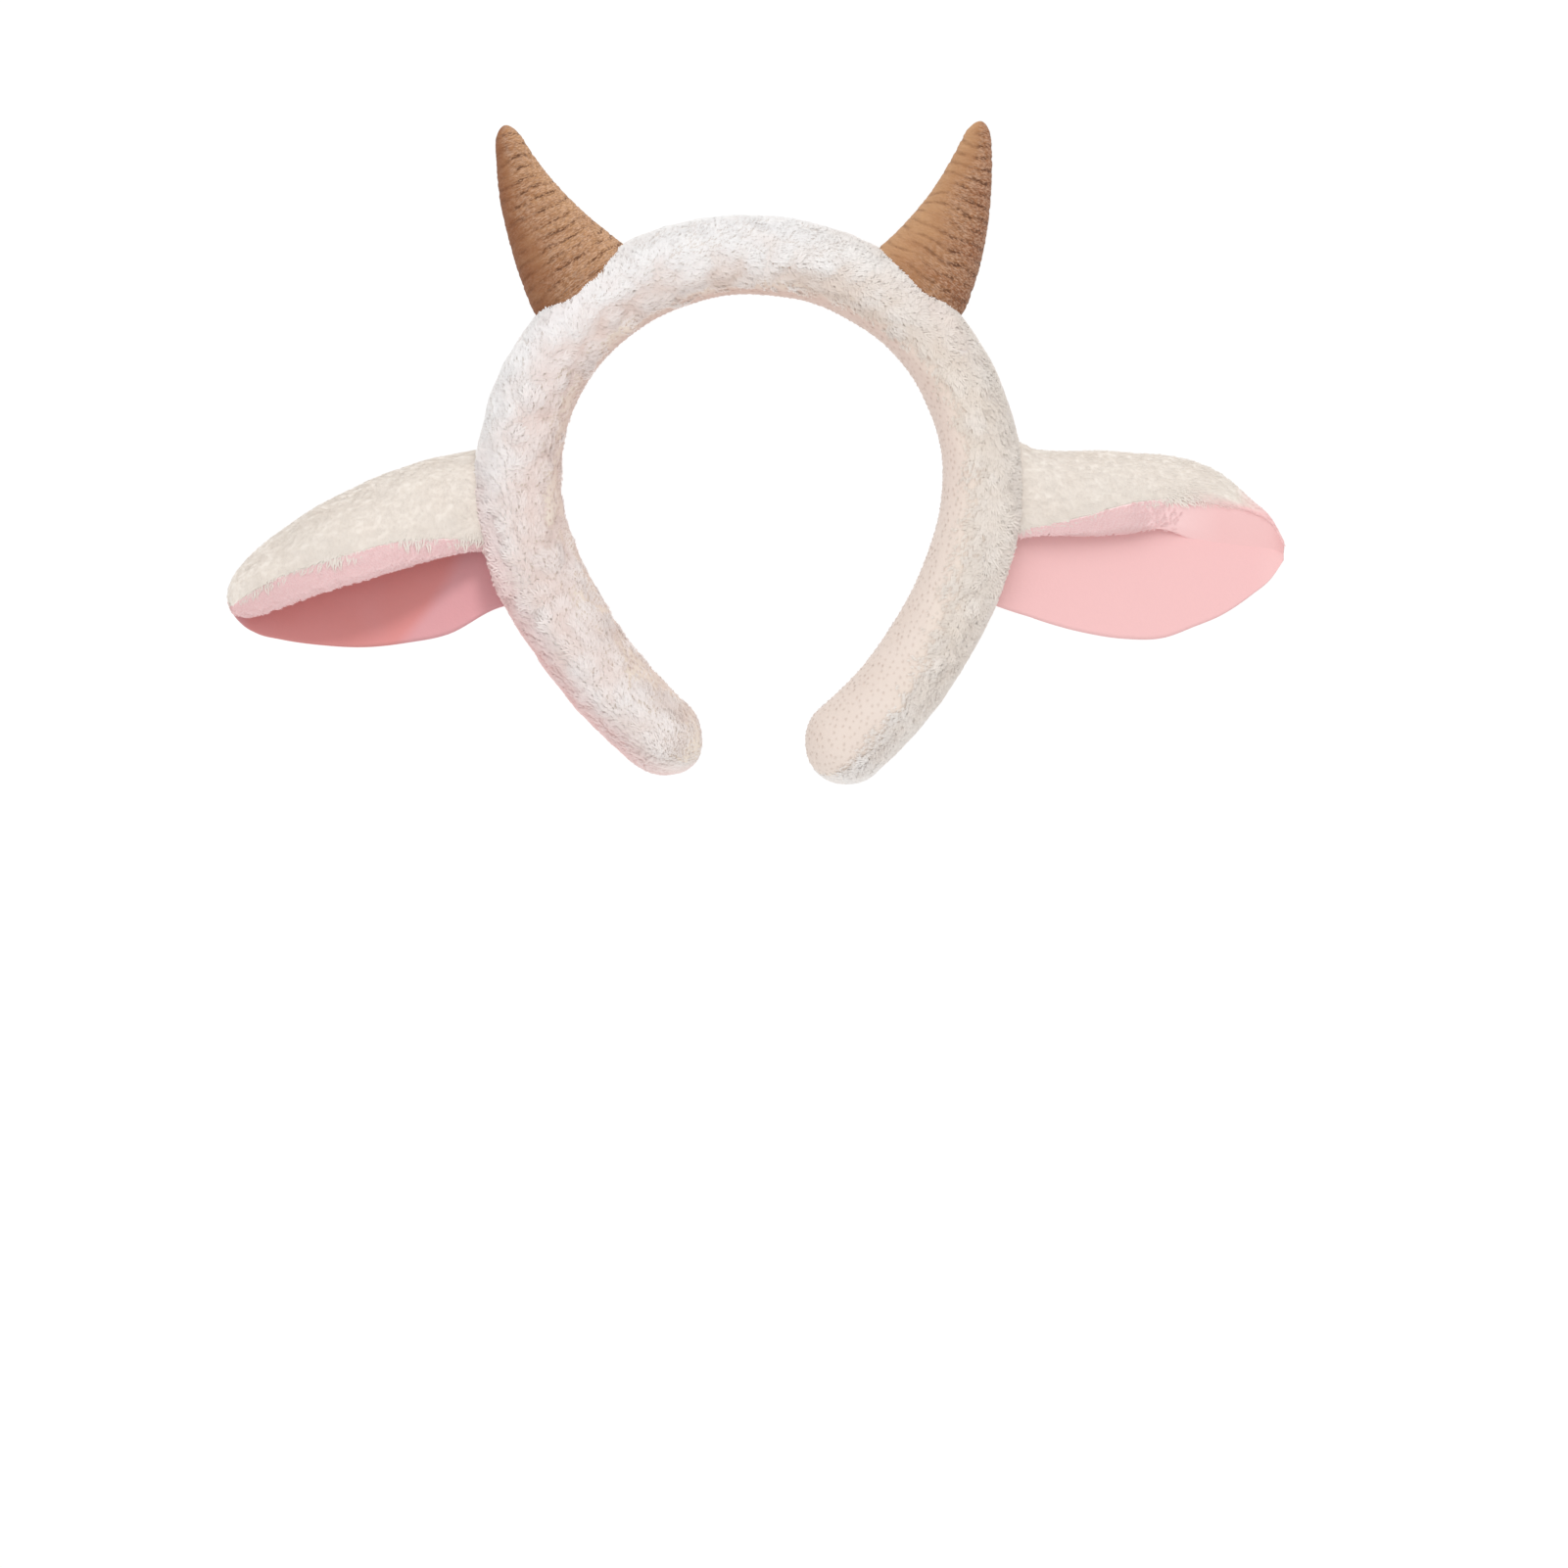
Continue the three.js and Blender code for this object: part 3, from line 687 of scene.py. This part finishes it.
band_lining = skinned("band_lining_velour", there_and_back(outer, inner))
under_pile = np.clip(brushed(lining_travel, lining_angle - seam)[0], 0, 1)
set_attribute(band_lining.data, "under_pile", there_and_back(under_pile, under_pile))
# Painted shade on the lining: deepest round the crown, none towards the right end.
painted_crown_shade = np.interp(from_crown(stretch), (-1, -0.5, -0.25, 0, 0.25, 0.6), (0.3, 0.7, 0.9, 1, 0.5, 0))
painted_crown_shade = np.broadcast_to(painted_crown_shade[:, None], lining_travel.shape)
set_attribute(band_lining.data, "painted_shade", there_and_back(painted_crown_shade, painted_crown_shade))


def nubbed(tree, height, strength, size):
    """A bumpy surface, with the bumps' height in millimetres."""
    inputs = {"Height": height, "Strength": strength, "Distance": size * MM}
    return add(tree, "ShaderNodeBump", inputs).outputs[0]


# Warp-knit velour, sheared short: its dense even pile looks matt and a touch lighter at grazing angles. It is
# painted deeper round the crown, painted shade on the head side there, and takes the fleece's shaded root
# colour under its pile.
VELOUR_LIGHT, VELOUR_DEEP, VELOUR_PAINTED_SHADE = "#E9DCD3", "#E1D1C6", "#D6BAAE"
velour, tree = new_material("sheared_velour")
place = object_place(tree)
shade = mixed(tree, mottling(tree, place, size=14, detail=3.0), VELOUR_DEEP, VELOUR_LIGHT)
shade = mixed(tree, carried(tree, "painted_shade"), shade, VELOUR_PAINTED_SHADE)
# Painted shade under the fleece's brushed-over pile: the fleece's shaded root colour.
shade = mixed(tree, carried(tree, "under_pile"), shade, FLEECE_CREAM_SHADED_ROOT)
nub = nubbed(tree, mottling(tree, place, size=1.1, detail=2.0), strength=0.3, size=0.3)
surfaced(tree, shade, Roughness=0.9, Sheen_Weight=0.2, Sheen_Roughness=0.5, Specular_IOR_Level=0.1,
         Normal=nub)
band_lining.data.materials.append(velour)
nap_fields = {
    "lie": directions(np.gradient(outer, axis=0)) + hanging(outer),
    "long": NAP_LENGTH * clear_of_table(outer, 0.3), "thick": 1.0, "painted_shade": painted_crown_shade,
}
lining_nap = grow_pile("band_lining_nap", outer, nap_fields, fleece_tuft, LINING_NAP_TUFTS,
                       LINING_LOCK, LINING_STRAY, seed=17, cloth=velour)
for piece in (band_lining, lining_nap):
    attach(piece, "root")
    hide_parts("band_lining")


# The ears. Each is a leaf of cream plush lined with pink velvet, folded over along its top edge so that a
# flap hangs in front. The velvet turns out round the flap's free edge as a soft rolled lip. The roots are
# sewn to the hoop.
EAR_PLUSH = 2.8
EAR_VELVET = 1.8
EAR_GAP = 0.3
HEM_CURL = 0.8
EAR_PILE_ROOT = 0.4
# Outwards from the root; heights of crest, plush's end, lip and hem above it; back panel's height over the
# table; room inside the fold; share of the full wall; how far the lip comes down into the fold's room
LEFT_EAR = np.array([
    (-14, 26, 0, -2, -21, 11, 8, 1, 0.4),
    (0, 28, 0, -2, -24.2, 10.5, 8, 1, 0.4),
    (14.6, 26.2, 0, -5.6, -32, 8.6, 13, 1, 0.16),
    (28, 22.4, -0.9, -9.6, -34.8, 7, 18, 1, 0.04),
    (41.2, 17.4, -4.2, -13.6, -36.2, 6, 19.5, 1, 0.02),
    (55, 10.7, -8, -17.6, -35.6, 5.6, 18, 1, 0.03),
    (68.2, 2, -12.6, -22.3, -33.7, 5.6, 13.5, 0.95, 0.06),
    (76, -4, -16.4, -24.8, -31.6, 5.8, 10, 0.85, 0.12),
    (80.7, -9, -19.4, -25, -28.5, 6.4, 7, 0.7, 0.2),
    (83.6, -13, -21.2, -23.4, -24.8, 7, 5, 0.55, 0.25),
    (85, -16.6, -20, -20.6, -21.4, 8.6, 1.4, 0.3, 0.3),
])
RIGHT_EAR = np.array([
    (-14, 26, 0.6, -1, -21, 11, 6, 1, 0.15),
    (0, 28.9, 0.6, -0.6, -26.2, 10.5, 6, 1, 0.15),
    (4.4, 28.2, 1.3, -0.6, -27.6, 10, 6.1, 1, 0.13),
    (6.5, 26.9, 1.6, -0.6, -28.2, 9.7, 6.2, 1, 0.12),
    (9, 26.2, 2, -0.6, -29.1, 9.4, 6.3, 1, 0.11),
    (12.4, 25.9, 2.6, -0.6, -30.2, 9, 6.4, 1, 0.1),
    (24.8, 25.7, 5.6, -0.9, -33.4, 7.8, 6.6, 1, 0.08),
    (37.2, 25.6, 9.2, 0, -35.2, 6.8, 6.6, 1, 0.12),
    (49.6, 24.8, 11.2, 0.9, -34.8, 6, 6.2, 1, 0.4),
    (58.9, 22.6, 11.2, -2.4, -31.4, 5.6, 5.6, 1, 0.8),
    (68.2, 18.3, 9.4, -5, -27.3, 5.6, 5, 0.9, 0.84),
    (77.5, 10.5, 6.6, -6, -20.8, 6, 4.4, 0.75, 0.84),
    (83.9, 4, 2.2, -6.4, -15, 6.6, 3.8, 0.55, 0.86),
    (87.5, -2.6, -4.2, -7, -9.4, 7.4, 3.4, 0.38, 0.86),
])
SEAM_SHARE = 5 / 6  # share of the section from the hem to the seam of plush and lip
SEAM_OVERLAP = 0.012
HEM_TURN = 0.03  # share of the section that the velvet keeps to itself where it turns round the hem
EAR_STATIONS, EAR_COLUMNS, LIP_COLUMNS = 72, 64, 17
# Where, outwards from the root, the right ear's plush turns pink, its seam turns pink and its lip melts away
PINK_PLUSH, PINK_SEAM, LIP_MELTS = (72, 82), (55, 75), (38, 68)
LIP_HEIGHT = 0.92  # as a share of the plush's wall
# How far outwards the left ear's velvet is painted with its flap's shadow: at the hem, how much nearer that
# comes
# # to the root over the whole section, and over what distance it fades
SHADE_FROM, SHADE_SLANT, SHADE_FADE = 30, 92, 6
# Where, outwards from the root, the painted shade in the velvet's folds fades out towards the tip
FOLD_SHADE_ENDS = (84, 78)


def ear_lines(table, shares):
    """Points on, and normals of, the line between plush and velvet, for each station outwards and each share
    of the section from the hem over the crest to the lip, and the share of the full wall. Across is y and up
    is z; the plush side is positive."""
    reach = table[-1, 0] - table[0, 0]
    out = table[0, 0] + reach * (1 - (1 - np.linspace(0, 1, EAR_STATIONS)) ** 1.35)
    points, normals, thick = [], [], []
    for _, crest, plush_end, lip, hem, back, gap, wall, droop in smooth(table[:, 0], table, out):
        crest -= EAR_PLUSH * wall
        turn = min(0.3 * gap, 0.4 * (crest - plush_end))
        top = back + gap
        knots = np.array([
            (hem + EAR_PLUSH * wall * 0.5, back + HEM_CURL * wall),
            (hem + 0.35 * (crest - hem), back),
            (crest - turn, back + 0.1 * gap),
            (crest, back + 0.5 * gap),
            (crest - turn, top - 0.08 * gap),
            (plush_end, top),
            (lip, top - droop * gap),
        ])
        steps = np.sqrt(np.linalg.norm(np.diff(knots, axis=0), axis=1))
        distance = np.concatenate([[0.0], np.cumsum(steps)])
        at = np.interp(np.asarray(shares) * 6, np.arange(7), distance)
        ahead = directions(smooth(distance, knots, at + 1e-3) - smooth(distance, knots, at - 1e-3))
        points.append(smooth(distance, knots, at))
        normals.append(np.stack([ahead[:, 1], -ahead[:, 0]], axis=1))
        thick.append(wall)
    return out, np.array(points), np.array(normals), np.repeat(np.array(thick)[:, None], len(shares), axis=1)


def ear_layer(root, sign, out, points, normals, offset):
    """One side of an ear's cloth, as rows of points in the frame; offset is a distance from the line."""
    y, z = np.moveaxis(points + normals * offset[:, :, None], 2, 0)
    x = np.repeat((root[0] + sign * out)[:, None], y.shape[1], axis=1)
    return np.stack([x, root[1] + y, z], axis=2)


def flat_size(out, points):
    """Width of the widest section unrolled, length, and area of an ear's cloth when it is laid flat."""
    cut = np.linalg.norm(np.diff(points, axis=1), axis=2).sum(axis=1)
    return cut.max(), out[-1] - out[0], np.trapz(cut, out)


# Cut-pile plush, cream: short upright fibres, soft and matt, painted a touch darker at the fibres' roots,
# painted shade among them.
PLUSH_TIP, PLUSH_SHADED_ROOT = "#EFE7DE", "#ECE1D6"
VELVET_LIGHT, VELVET_PAINTED_HIGHLIGHT = "#F1C4C3", "#FFE6E6"
plush, tree = new_material("cut_pile_plush")
depth = sums(tree, "ADD", carried(tree, "tip"), mottling(tree, object_place(tree), size=11, detail=2.0))
shade = mixed(tree, ranged(tree, depth, 0.25, 1.15), PLUSH_SHADED_ROOT, PLUSH_TIP)
shade = mixed(tree, carried(tree, "blush"), shade, VELVET_LIGHT)
surfaced(tree, shade, Roughness=0.95, Sheen_Weight=0.2, Sheen_Roughness=0.6, Specular_IOR_Level=0.1)

# Pink polyester velvet: a very short dense pile. It is painted paler on the rolled lip and at its fibres'
# tips, a painted
# # highlight, and painted deeper inside the folds, painted shade, most in the painted shadow of the left
# ear's flap.
VELVET_SHADED, VELVET_PAINTED_SHADOW, VELVET_SHEEN = "#E4A8AC", "#E69A97", "#FFD0D0"
velvet, tree = new_material("short_pile_velvet")
place = object_place(tree)
mottle = ranged(tree, mottling(tree, place, size=18, detail=2.0), 0.0, 1.0, 0.8, 1.2)
# Painted shade inside the folds, deepest in the painted shadow of the left ear's flap.
deep = sums(tree, "MULTIPLY", carried(tree, "painted_fold_shade"), mottle)
shade = mixed(tree, deep, VELVET_LIGHT, VELVET_SHADED)
shade = mixed(tree, sums(tree, "SUBTRACT", deep, 1.0, use_clamp=True), shade, VELVET_PAINTED_SHADOW)
# Painted highlight on the rolled lip and at the lip fibres' tips.
shade = mixed(tree, carried(tree, "tip"), shade, VELVET_PAINTED_HIGHLIGHT)
nub = nubbed(tree, mottling(tree, place, size=0.9, detail=2.0), strength=0.25, size=0.25)
surfaced(tree, shade, Roughness=0.85, Sheen_Weight=0.12, Sheen_Roughness=0.4,
         Sheen_Tint=linear(VELVET_SHEEN), Specular_IOR_Level=0.05, Normal=nub)

EAR_TUFT = {"fibres": 6, "run": 1.8, "rise": 0.35, "splay": 40, "width": 0.24}
EAR_TUFTS, EAR_LOCK, EAR_STRAY = 5500, 8.0, 0.9
LIP_TUFT = {"fibres": 6, "run": 1.6, "rise": 0.5, "splay": 70, "width": 0.24}
LIP_TUFTS, LIP_LOCK, LIP_STRAY = 2800, 5.0, 1.6
ear_tuft = tuft_mesh("ear_tuft", seed=5, **EAR_TUFT)
lip_tuft = tuft_mesh("lip_tuft", seed=6, **LIP_TUFT)
ears_and_horns = []
for side, sign, root, table in (("left", -1, EAR_ROOTS[0], LEFT_EAR), ("right", 1, EAR_ROOTS[1], RIGHT_EAR)):
    # Plush, from the hem to the seam; the right ear's is tinged pink towards its tip
    shares = np.linspace(HEM_TURN, SEAM_SHARE + SEAM_OVERLAP, EAR_COLUMNS)
    out, points, normals, wall = ear_lines(table, shares)
    swell = 0.35 * unevenness(ear_layer(root, sign, out, points, normals, wall), size=13.0, seed=8)
    face_offset = EAR_GAP / 2 + (EAR_PLUSH - EAR_PILE_ROOT + swell) * wall
    plush_face = ear_layer(root, sign, out, points, normals, face_offset)
    plush_back = ear_layer(root, sign, out, points, normals, np.full_like(wall, EAR_GAP / 2))
    ear_back = skinned("ear_plush_" + side, there_and_back(plush_face, plush_back))
    ear_back.data.materials.append(plush)
    set_attribute(ear_back.data, "tip", np.full(len(ear_back.data.vertices), 0.5))
    near_seam = ramp(shares, 0.93 * SEAM_SHARE, SEAM_SHARE)[None, :]
    pink = ramp(out, *PINK_PLUSH)[:, None] + near_seam * np.minimum(ramp(out, *PINK_SEAM), 0.7)[:, None]
    pink = np.clip(pink, 0, 1) * (sign > 0)
    set_attribute(ear_back.data, "blush", there_and_back(pink, pink))
    plush_cut = flat_size(out, points)

    lie = (0.25 + near_seam[:, :, None]) * directions(np.gradient(plush_face, axis=1))
    lie[:, :, 0] += 0.8 * sign
    lie += hanging(plush_face)
    long = np.maximum(wall, 0.6) * (1 + 0.6 * near_seam * (1 + 2 * swell)) * (1 - 0.5 * pink)
    from_hem = np.broadcast_to(np.clip((shares - 2 * HEM_TURN) / HEM_TURN, 0.02, 1), wall.shape)
    fields = {"lie": lie[::sign], "long": long[::sign], "thick": from_hem, "blush": pink[::sign]}
    pile = grow_pile("ear_pile_" + side, plush_face[::sign], fields, ear_tuft, EAR_TUFTS,
                     EAR_LOCK, EAR_STRAY, seed=21 + sign, cloth=plush)

    # Velvet, from the hem to the lip's edge; the right ear's lip melts into its inside towards the tip
    lip_shares = np.linspace(SEAM_SHARE, 1, LIP_COLUMNS + 1)[1:]
    shares = np.concatenate([np.linspace(0, SEAM_SHARE, EAR_COLUMNS), lip_shares])
    out, points, normals, wall = ear_lines(table, shares)
    rolled = ramp(shares, SEAM_SHARE, 1)[None, :]
    melts = ramp(out, *LIP_MELTS)[:, None] * (sign > 0)
    taper = np.sqrt(np.clip((1 - rolled) * 4, 0.04, 1))
    taper = taper + melts * (np.clip(1 - rolled, 0.05, 1) - taper)
    bulge = np.clip(0.95 + rolled, 0, 1) * taper
    lumpy = 0.3 * unevenness(ear_layer(root, sign, out, points, normals, wall), size=7.0, seed=9)
    lumpy = lumpy * (rolled > 0) * (1 - melts)
    outward = -EAR_GAP / 2 + (EAR_GAP / 2 + EAR_PLUSH * LIP_HEIGHT + lumpy) * wall * bulge * (rolled > 0)
    inward = -EAR_GAP / 2 - EAR_VELVET * wall * np.where(rolled > 0.75, taper, 1.0)
    velvet_out = ear_layer(root, sign, out, points, normals, outward)
    velvet_in = ear_layer(root, sign, out, points, normals, inward)
    ear_lining = skinned("ear_velvet_" + side, there_and_back(velvet_out, velvet_in))
    ear_lining.data.materials.append(velvet)
    on_lip = np.broadcast_to(rolled > 0, wall.shape)
    # Painted highlight: the lip's velvet is drawn paler, except where the right ear's lip melts away.
    painted_lip_highlight = 0.75 * on_lip * (1 - melts)
    set_attribute(ear_lining.data, "tip", there_and_back(painted_lip_highlight, np.zeros_like(wall)))
    # Painted shadow of the left ear's flap on the velvet inside its fold.
    painted_flap_shadow = out[:, None] - SHADE_FROM + SHADE_SLANT * shares[None, :]
    painted_flap_shadow = np.clip(painted_flap_shadow / SHADE_FADE + 0.5, 0, 1)
    # Painted shade: deep inside the left ear's fold, faint in the right ear's.
    fold_shade = 1 + painted_flap_shadow if side == "left" else np.full_like(wall, 0.15)
    fold_shade = fold_shade * ramp(out, *FOLD_SHADE_ENDS)[:, None]
    set_attribute(ear_lining.data, "painted_fold_shade", there_and_back(fold_shade * ~on_lip, fold_shade))
    velvet_cut = flat_size(out, points)

    lip = velvet_out[:, -LIP_COLUMNS:]
    lie = directions(np.gradient(lip, axis=1))
    lie[:, :, 0] += 0.4 * sign
    lie += hanging(lip)
    fields = {
        "lie": lie[::sign], "long": (1.1 * wall[:, -LIP_COLUMNS:] * (1 - 0.6 * melts))[::sign],
        "thick": np.broadcast_to(np.clip(1 - 1.6 * melts, 0, 1), lip.shape[:2])[::sign],
    }
    lip_pile = grow_pile("ear_lip_" + side, lip[::sign], fields, lip_tuft, LIP_TUFTS,
                         LIP_LOCK, LIP_STRAY, seed=31 + sign, cloth=velvet)
    for piece, node, slot in (
        (ear_back, "ear_back_", "ear_plush"), (pile, "ear_back_", "ear_plush"),
        (ear_lining, "ear_lining_", "ear_velvet"), (lip_pile, "ear_lining_", "ear_velvet"),
    ):
        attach(piece, "root")
        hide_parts(node + side)
        ears_and_horns.append(piece)
    for piece, fuzz, (wide, long, area) in ((ear_back, pile, plush_cut), (ear_lining, lip_pile, velvet_cut)):
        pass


# The horns. Sewn cones of tan ribbed jersey, stuffed firm, that curve out from the crown. The cloth's shallow
# ribs run round them, broken and uneven where the jersey crinkles.
HORN_HEIGHT = 17.0
HORN_HALF_BASES, HORN_HALF_TIP = (17.8, 16.8), 3.0
HORN_FLATNESS = 0.78
HORN_TIP_ROUNDING = 5.0
HORN_SINK = 13.0
HORN_ROOT_RADIUS = HOOP_RISE + np.interp(0, HOOP_ROWS[:, 0], HOOP_ROWS[:, 1])
RIB_PITCH = 3.8
RIB_DEPTH = 0.18
HORN_RINGS, HORN_CAP_RINGS = 220, 15
HORN_SIDES = 76
ACROSS_RIBS = np.array([1, 1, 3.0])  # draws the cloth's marks out round the horn

# Ribbed cotton jersey, brushed: matt yarn, lighter and golden towards the crown and darker and redder on the
# outer
# # side, and painted darker in the ribs' valleys, which is painted shade. Pale flecks and broken rows of dark
# stitches
# # along the ribs show where the brushing has left the yarn bare. Both are drawn coarser than the yarn, which
# is too fine to show.
JERSEY_OUTER, JERSEY_CROWN, JERSEY_PAINTED_SHADE = "#905C3C", "#BC9069", "#6F4429"
JERSEY_FLECK, JERSEY_STITCH = "#D8B49B", "#50301F"
jersey, tree = new_material("ribbed_cotton_jersey")
cloth_place = add(tree, "ShaderNodeAttribute", attribute_name="cloth").outputs["Vector"]
valley, bare = carried(tree, "valley"), carried(tree, "bare")
cloud = mottling(tree, cloth_place, size=14, detail=2.0)
tone = sums(tree, "MULTIPLY_ADD", cloud, 0.8, carried(tree, "crown_side"))
tone = sums(tree, "SUBTRACT", tone, 0.4, use_clamp=True)
shade = mixed(tree, tone, JERSEY_OUTER, JERSEY_CROWN)
# Painted shade in the ribs' valleys.
shade = mixed(tree, sums(tree, "MULTIPLY", valley, 0.3), shade, JERSEY_PAINTED_SHADE)
grain = mottling(tree, cloth_place, size=1.5, detail=4.0, Roughness=0.7)
fleck = sums(tree, "MULTIPLY", ranged(tree, grain, 0.42, 0.64, 0.0, 0.65), bare)
fleck = sums(tree, "MULTIPLY", fleck, ranged(tree, valley, 0.0, 1.0, 1.0, 0.6))
shade = mixed(tree, fleck, shade, JERSEY_FLECK)
stitches = ranged(tree, mottling(tree, cloth_place, size=1.4, detail=2.0, Roughness=0.6), 0.44, 0.55)
dark = sums(tree, "MULTIPLY", stitches, sums(tree, "MULTIPLY_ADD", valley, 0.65, 0.3))
shade = mixed(tree, sums(tree, "MULTIPLY", dark, bare), shade, JERSEY_STITCH)
nub = nubbed(tree, grain, strength=0.5, size=0.3)
surfaced(tree, shade, Roughness=0.9, Sheen_Weight=0.1, Specular_IOR_Level=0.12, Normal=nub)

# Side, angle of the root on the crown, half the base, how far it sets out straight, share of the way round
# from the left that is smooth, the tip, and where along the cloth it was cut
for side, angle, half_base, lean, smooth_side, tip, cut_at in (
    ("left", HORN_ANGLES[0], HORN_HALF_BASES[0], 25.0, 0.15, (-79.8, 103.2), 0),
    ("right", HORN_ANGLES[1], HORN_HALF_BASES[1], 17.0, 0.3, (70.9, 104.5), 90),
):
    outward = at_angle(angle)
    foot = np.array(HOOP_CENTRE) + outward * HORN_ROOT_RADIUS
    a, b, c = foot - outward * HORN_SINK, foot + outward * lean, np.array(tip)
    t = np.linspace(0, 1, 600)[:, None]
    path = (1 - t) ** 2 * a + 2 * t * (1 - t) * b + t * t * c
    distance = distances(path)
    length = distance[-1]
    cap = HORN_TIP_ROUNDING * (1 - np.cos(np.linspace(math.pi / 2, 0.1, HORN_CAP_RINGS)))
    body = np.linspace(length, HORN_TIP_ROUNDING, HORN_RINGS - HORN_CAP_RINGS + 1)[:-1]
    from_tip = np.concatenate([body, cap])
    centre = read_along(length - from_tip, distance, path)
    heading = directions(read_along(length - from_tip, distance, np.gradient(path, distance, axis=0)))
    sideways = np.stack([-heading[:, 1], heading[:, 0]], axis=1)
    cone = HORN_HALF_TIP + (half_base - HORN_HALF_TIP) * ramp(from_tip, 0, length - HORN_SINK)
    rounding = np.sqrt(1 - np.clip(1 - from_tip / HORN_TIP_ROUNDING, 0, 1) ** 2)
    turn = np.linspace(0, 2 * math.pi, HORN_SIDES + 1)[:-1]
    cloth = np.stack(np.broadcast_arrays(
        cone[:, None] * np.cos(turn), cone[:, None] * np.sin(turn), from_tip[:, None] + cut_at,
    ), axis=2)
    wander = unevenness(cloth * np.array([1, 1, 0.5]), size=8.0, seed=6)
    broken = unevenness(cloth * np.array([1, 1, 2.0]), size=5.0, seed=7)
    wave = np.cos(2 * math.pi * (from_tip[:, None] / RIB_PITCH + 0.3 * wander))
    valley = ramp(wave, 0.25, 1) * np.clip(0.65 + 1.1 * broken, 0.1, 1)
    fade = ramp(from_tip, 0, 5)[:, None]
    crinkle = 0.1 * unevenness(cloth * ACROSS_RIBS, size=2.4, seed=10) + 0.2 * wander
    half = cone[:, None] * rounding[:, None] + fade * (crinkle - RIB_DEPTH * valley)
    from_left = np.broadcast_to(0.5 - 0.5 * np.cos(turn), valley.shape)
    place = centre[:, None] + sideways[:, None] * half[:, :, None] * np.cos(turn)[:, None]
    z = HORN_HEIGHT + half * HORN_FLATNESS * np.sin(turn)
    horn = skinned("horn_" + side + "_jersey", np.concatenate([place, z[:, :, None]], axis=2))
    bare = np.clip((from_left - smooth_side + 0.15 * wander) / 0.3, 0.2, 0.95)
    set_attribute(horn.data, "valley", valley * fade)
    set_attribute(horn.data, "crown_side", from_left if side == "left" else 1 - from_left)
    set_attribute(horn.data, "bare", bare)
    set_attribute(horn.data, "cloth", cloth * ACROSS_RIBS * MM, "FLOAT_VECTOR")
    horn.data.materials.append(jersey)
    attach(horn, "root")
    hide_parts("horn_" + side)
    ears_and_horns.append(horn)


# The studio: a plain white light table in an even room. A window beyond the crown rakes over the horns and
# into the left ear's fold; a wide panel and a weaker fill from the nape's side light the pale cloth evenly.
# The camera looks straight down on the table, as for a flat lay.
PIXEL = 0.31  # the size on the table of one pixel of the picture
FRAME_PIXELS = 1601
ORIGIN_PIXEL = (773, 461)  # from the picture's left and top edges
MIDDLE_PIXEL = FRAME_PIXELS / 2
FRAME_CENTRE = ((MIDDLE_PIXEL - ORIGIN_PIXEL[0]) * PIXEL, (ORIGIN_PIXEL[1] - MIDDLE_PIXEL) * PIXEL)
CAMERA_HEIGHT = 2500.0
SENSOR_WIDTH = 36.0
lens_camera = bpy.data.cameras.new("flat_lay_camera")
lens_camera.sensor_width = SENSOR_WIDTH
lens_camera.lens = SENSOR_WIDTH * (CAMERA_HEIGHT - HOOP_HEIGHT) / (FRAME_PIXELS * PIXEL)
lens_camera.clip_end = 20.0
camera = placed("flat_lay_camera", lens_camera)
camera.location = (FRAME_CENTRE[0] * MM, FRAME_CENTRE[1] * MM, CAMERA_HEIGHT * MM)
bpy.context.scene.camera = camera

table_mesh = bpy.data.meshes.new("table")
table_mesh.from_pydata([(-4, -4, 0), (4, -4, 0), (4, 4, 0), (-4, 4, 0)], [], [(0, 1, 2, 3)])
table = placed("table", table_mesh)
# Opal acrylic, lit from below: an even white with no grain to see.
OPAL_DARK, OPAL_LIGHT, OPAL_GLOW = "#5F5F5E", "#616161", "#FFFFFF"
opal, tree = new_material("opal_acrylic")
haze = add(tree, "ShaderNodeTexNoise", {"Vector": object_place(tree), "Scale": 3.0}).outputs["Fac"]
surfaced(tree, mixed(tree, haze, OPAL_DARK, OPAL_LIGHT), Roughness=0.8, Specular_IOR_Level=0.1,
         Emission_Color=linear(OPAL_GLOW), Emission_Strength=0.94)
table_mesh.materials.append(opal)

by_window, by_panel = bpy.data.collections.new("lit_by_window"), bpy.data.collections.new("lit_by_panel")
for piece in (band_cover, band_lining, lining_nap, *fleece_piles, *ears_and_horns):
    (by_window if "jersey" in piece.name or piece.name == "ear_velvet_left" else by_panel).objects.link(piece)
# Place and size in metres, power in watts, and what it lights
for name, place, size, watts, lit in (
    ("window", (0.25, 1.45, 1.33), 0.45, 15.5, by_window),
    ("panel", (0.0, 0.7, 0.95), 0.9, 4.15, by_panel),
    ("fill", (0.0, -0.9, 0.9), 0.9, 2.4, by_panel),
):
    lamp = bpy.data.lights.new(name, "AREA")
    lamp.shape = "DISK"
    lamp.size = size
    lamp.energy = watts
    light = placed(name, lamp)
    light.location = place
    light.rotation_euler = (-Vector(place)).to_track_quat("-Z", "Y").to_euler()
    light.light_linking.receiver_collection = lit
ROOM_LIGHT, ROOM_STRENGTH = "#FFFFFF", 0.8
world = bpy.data.worlds.new("room")
world.use_nodes = True
world.node_tree.nodes["Background"].inputs["Color"].default_value = linear(ROOM_LIGHT)
world.node_tree.nodes["Background"].inputs["Strength"].default_value = ROOM_STRENGTH
bpy.context.scene.world = world
bpy.context.scene.view_settings.view_transform = "Standard"
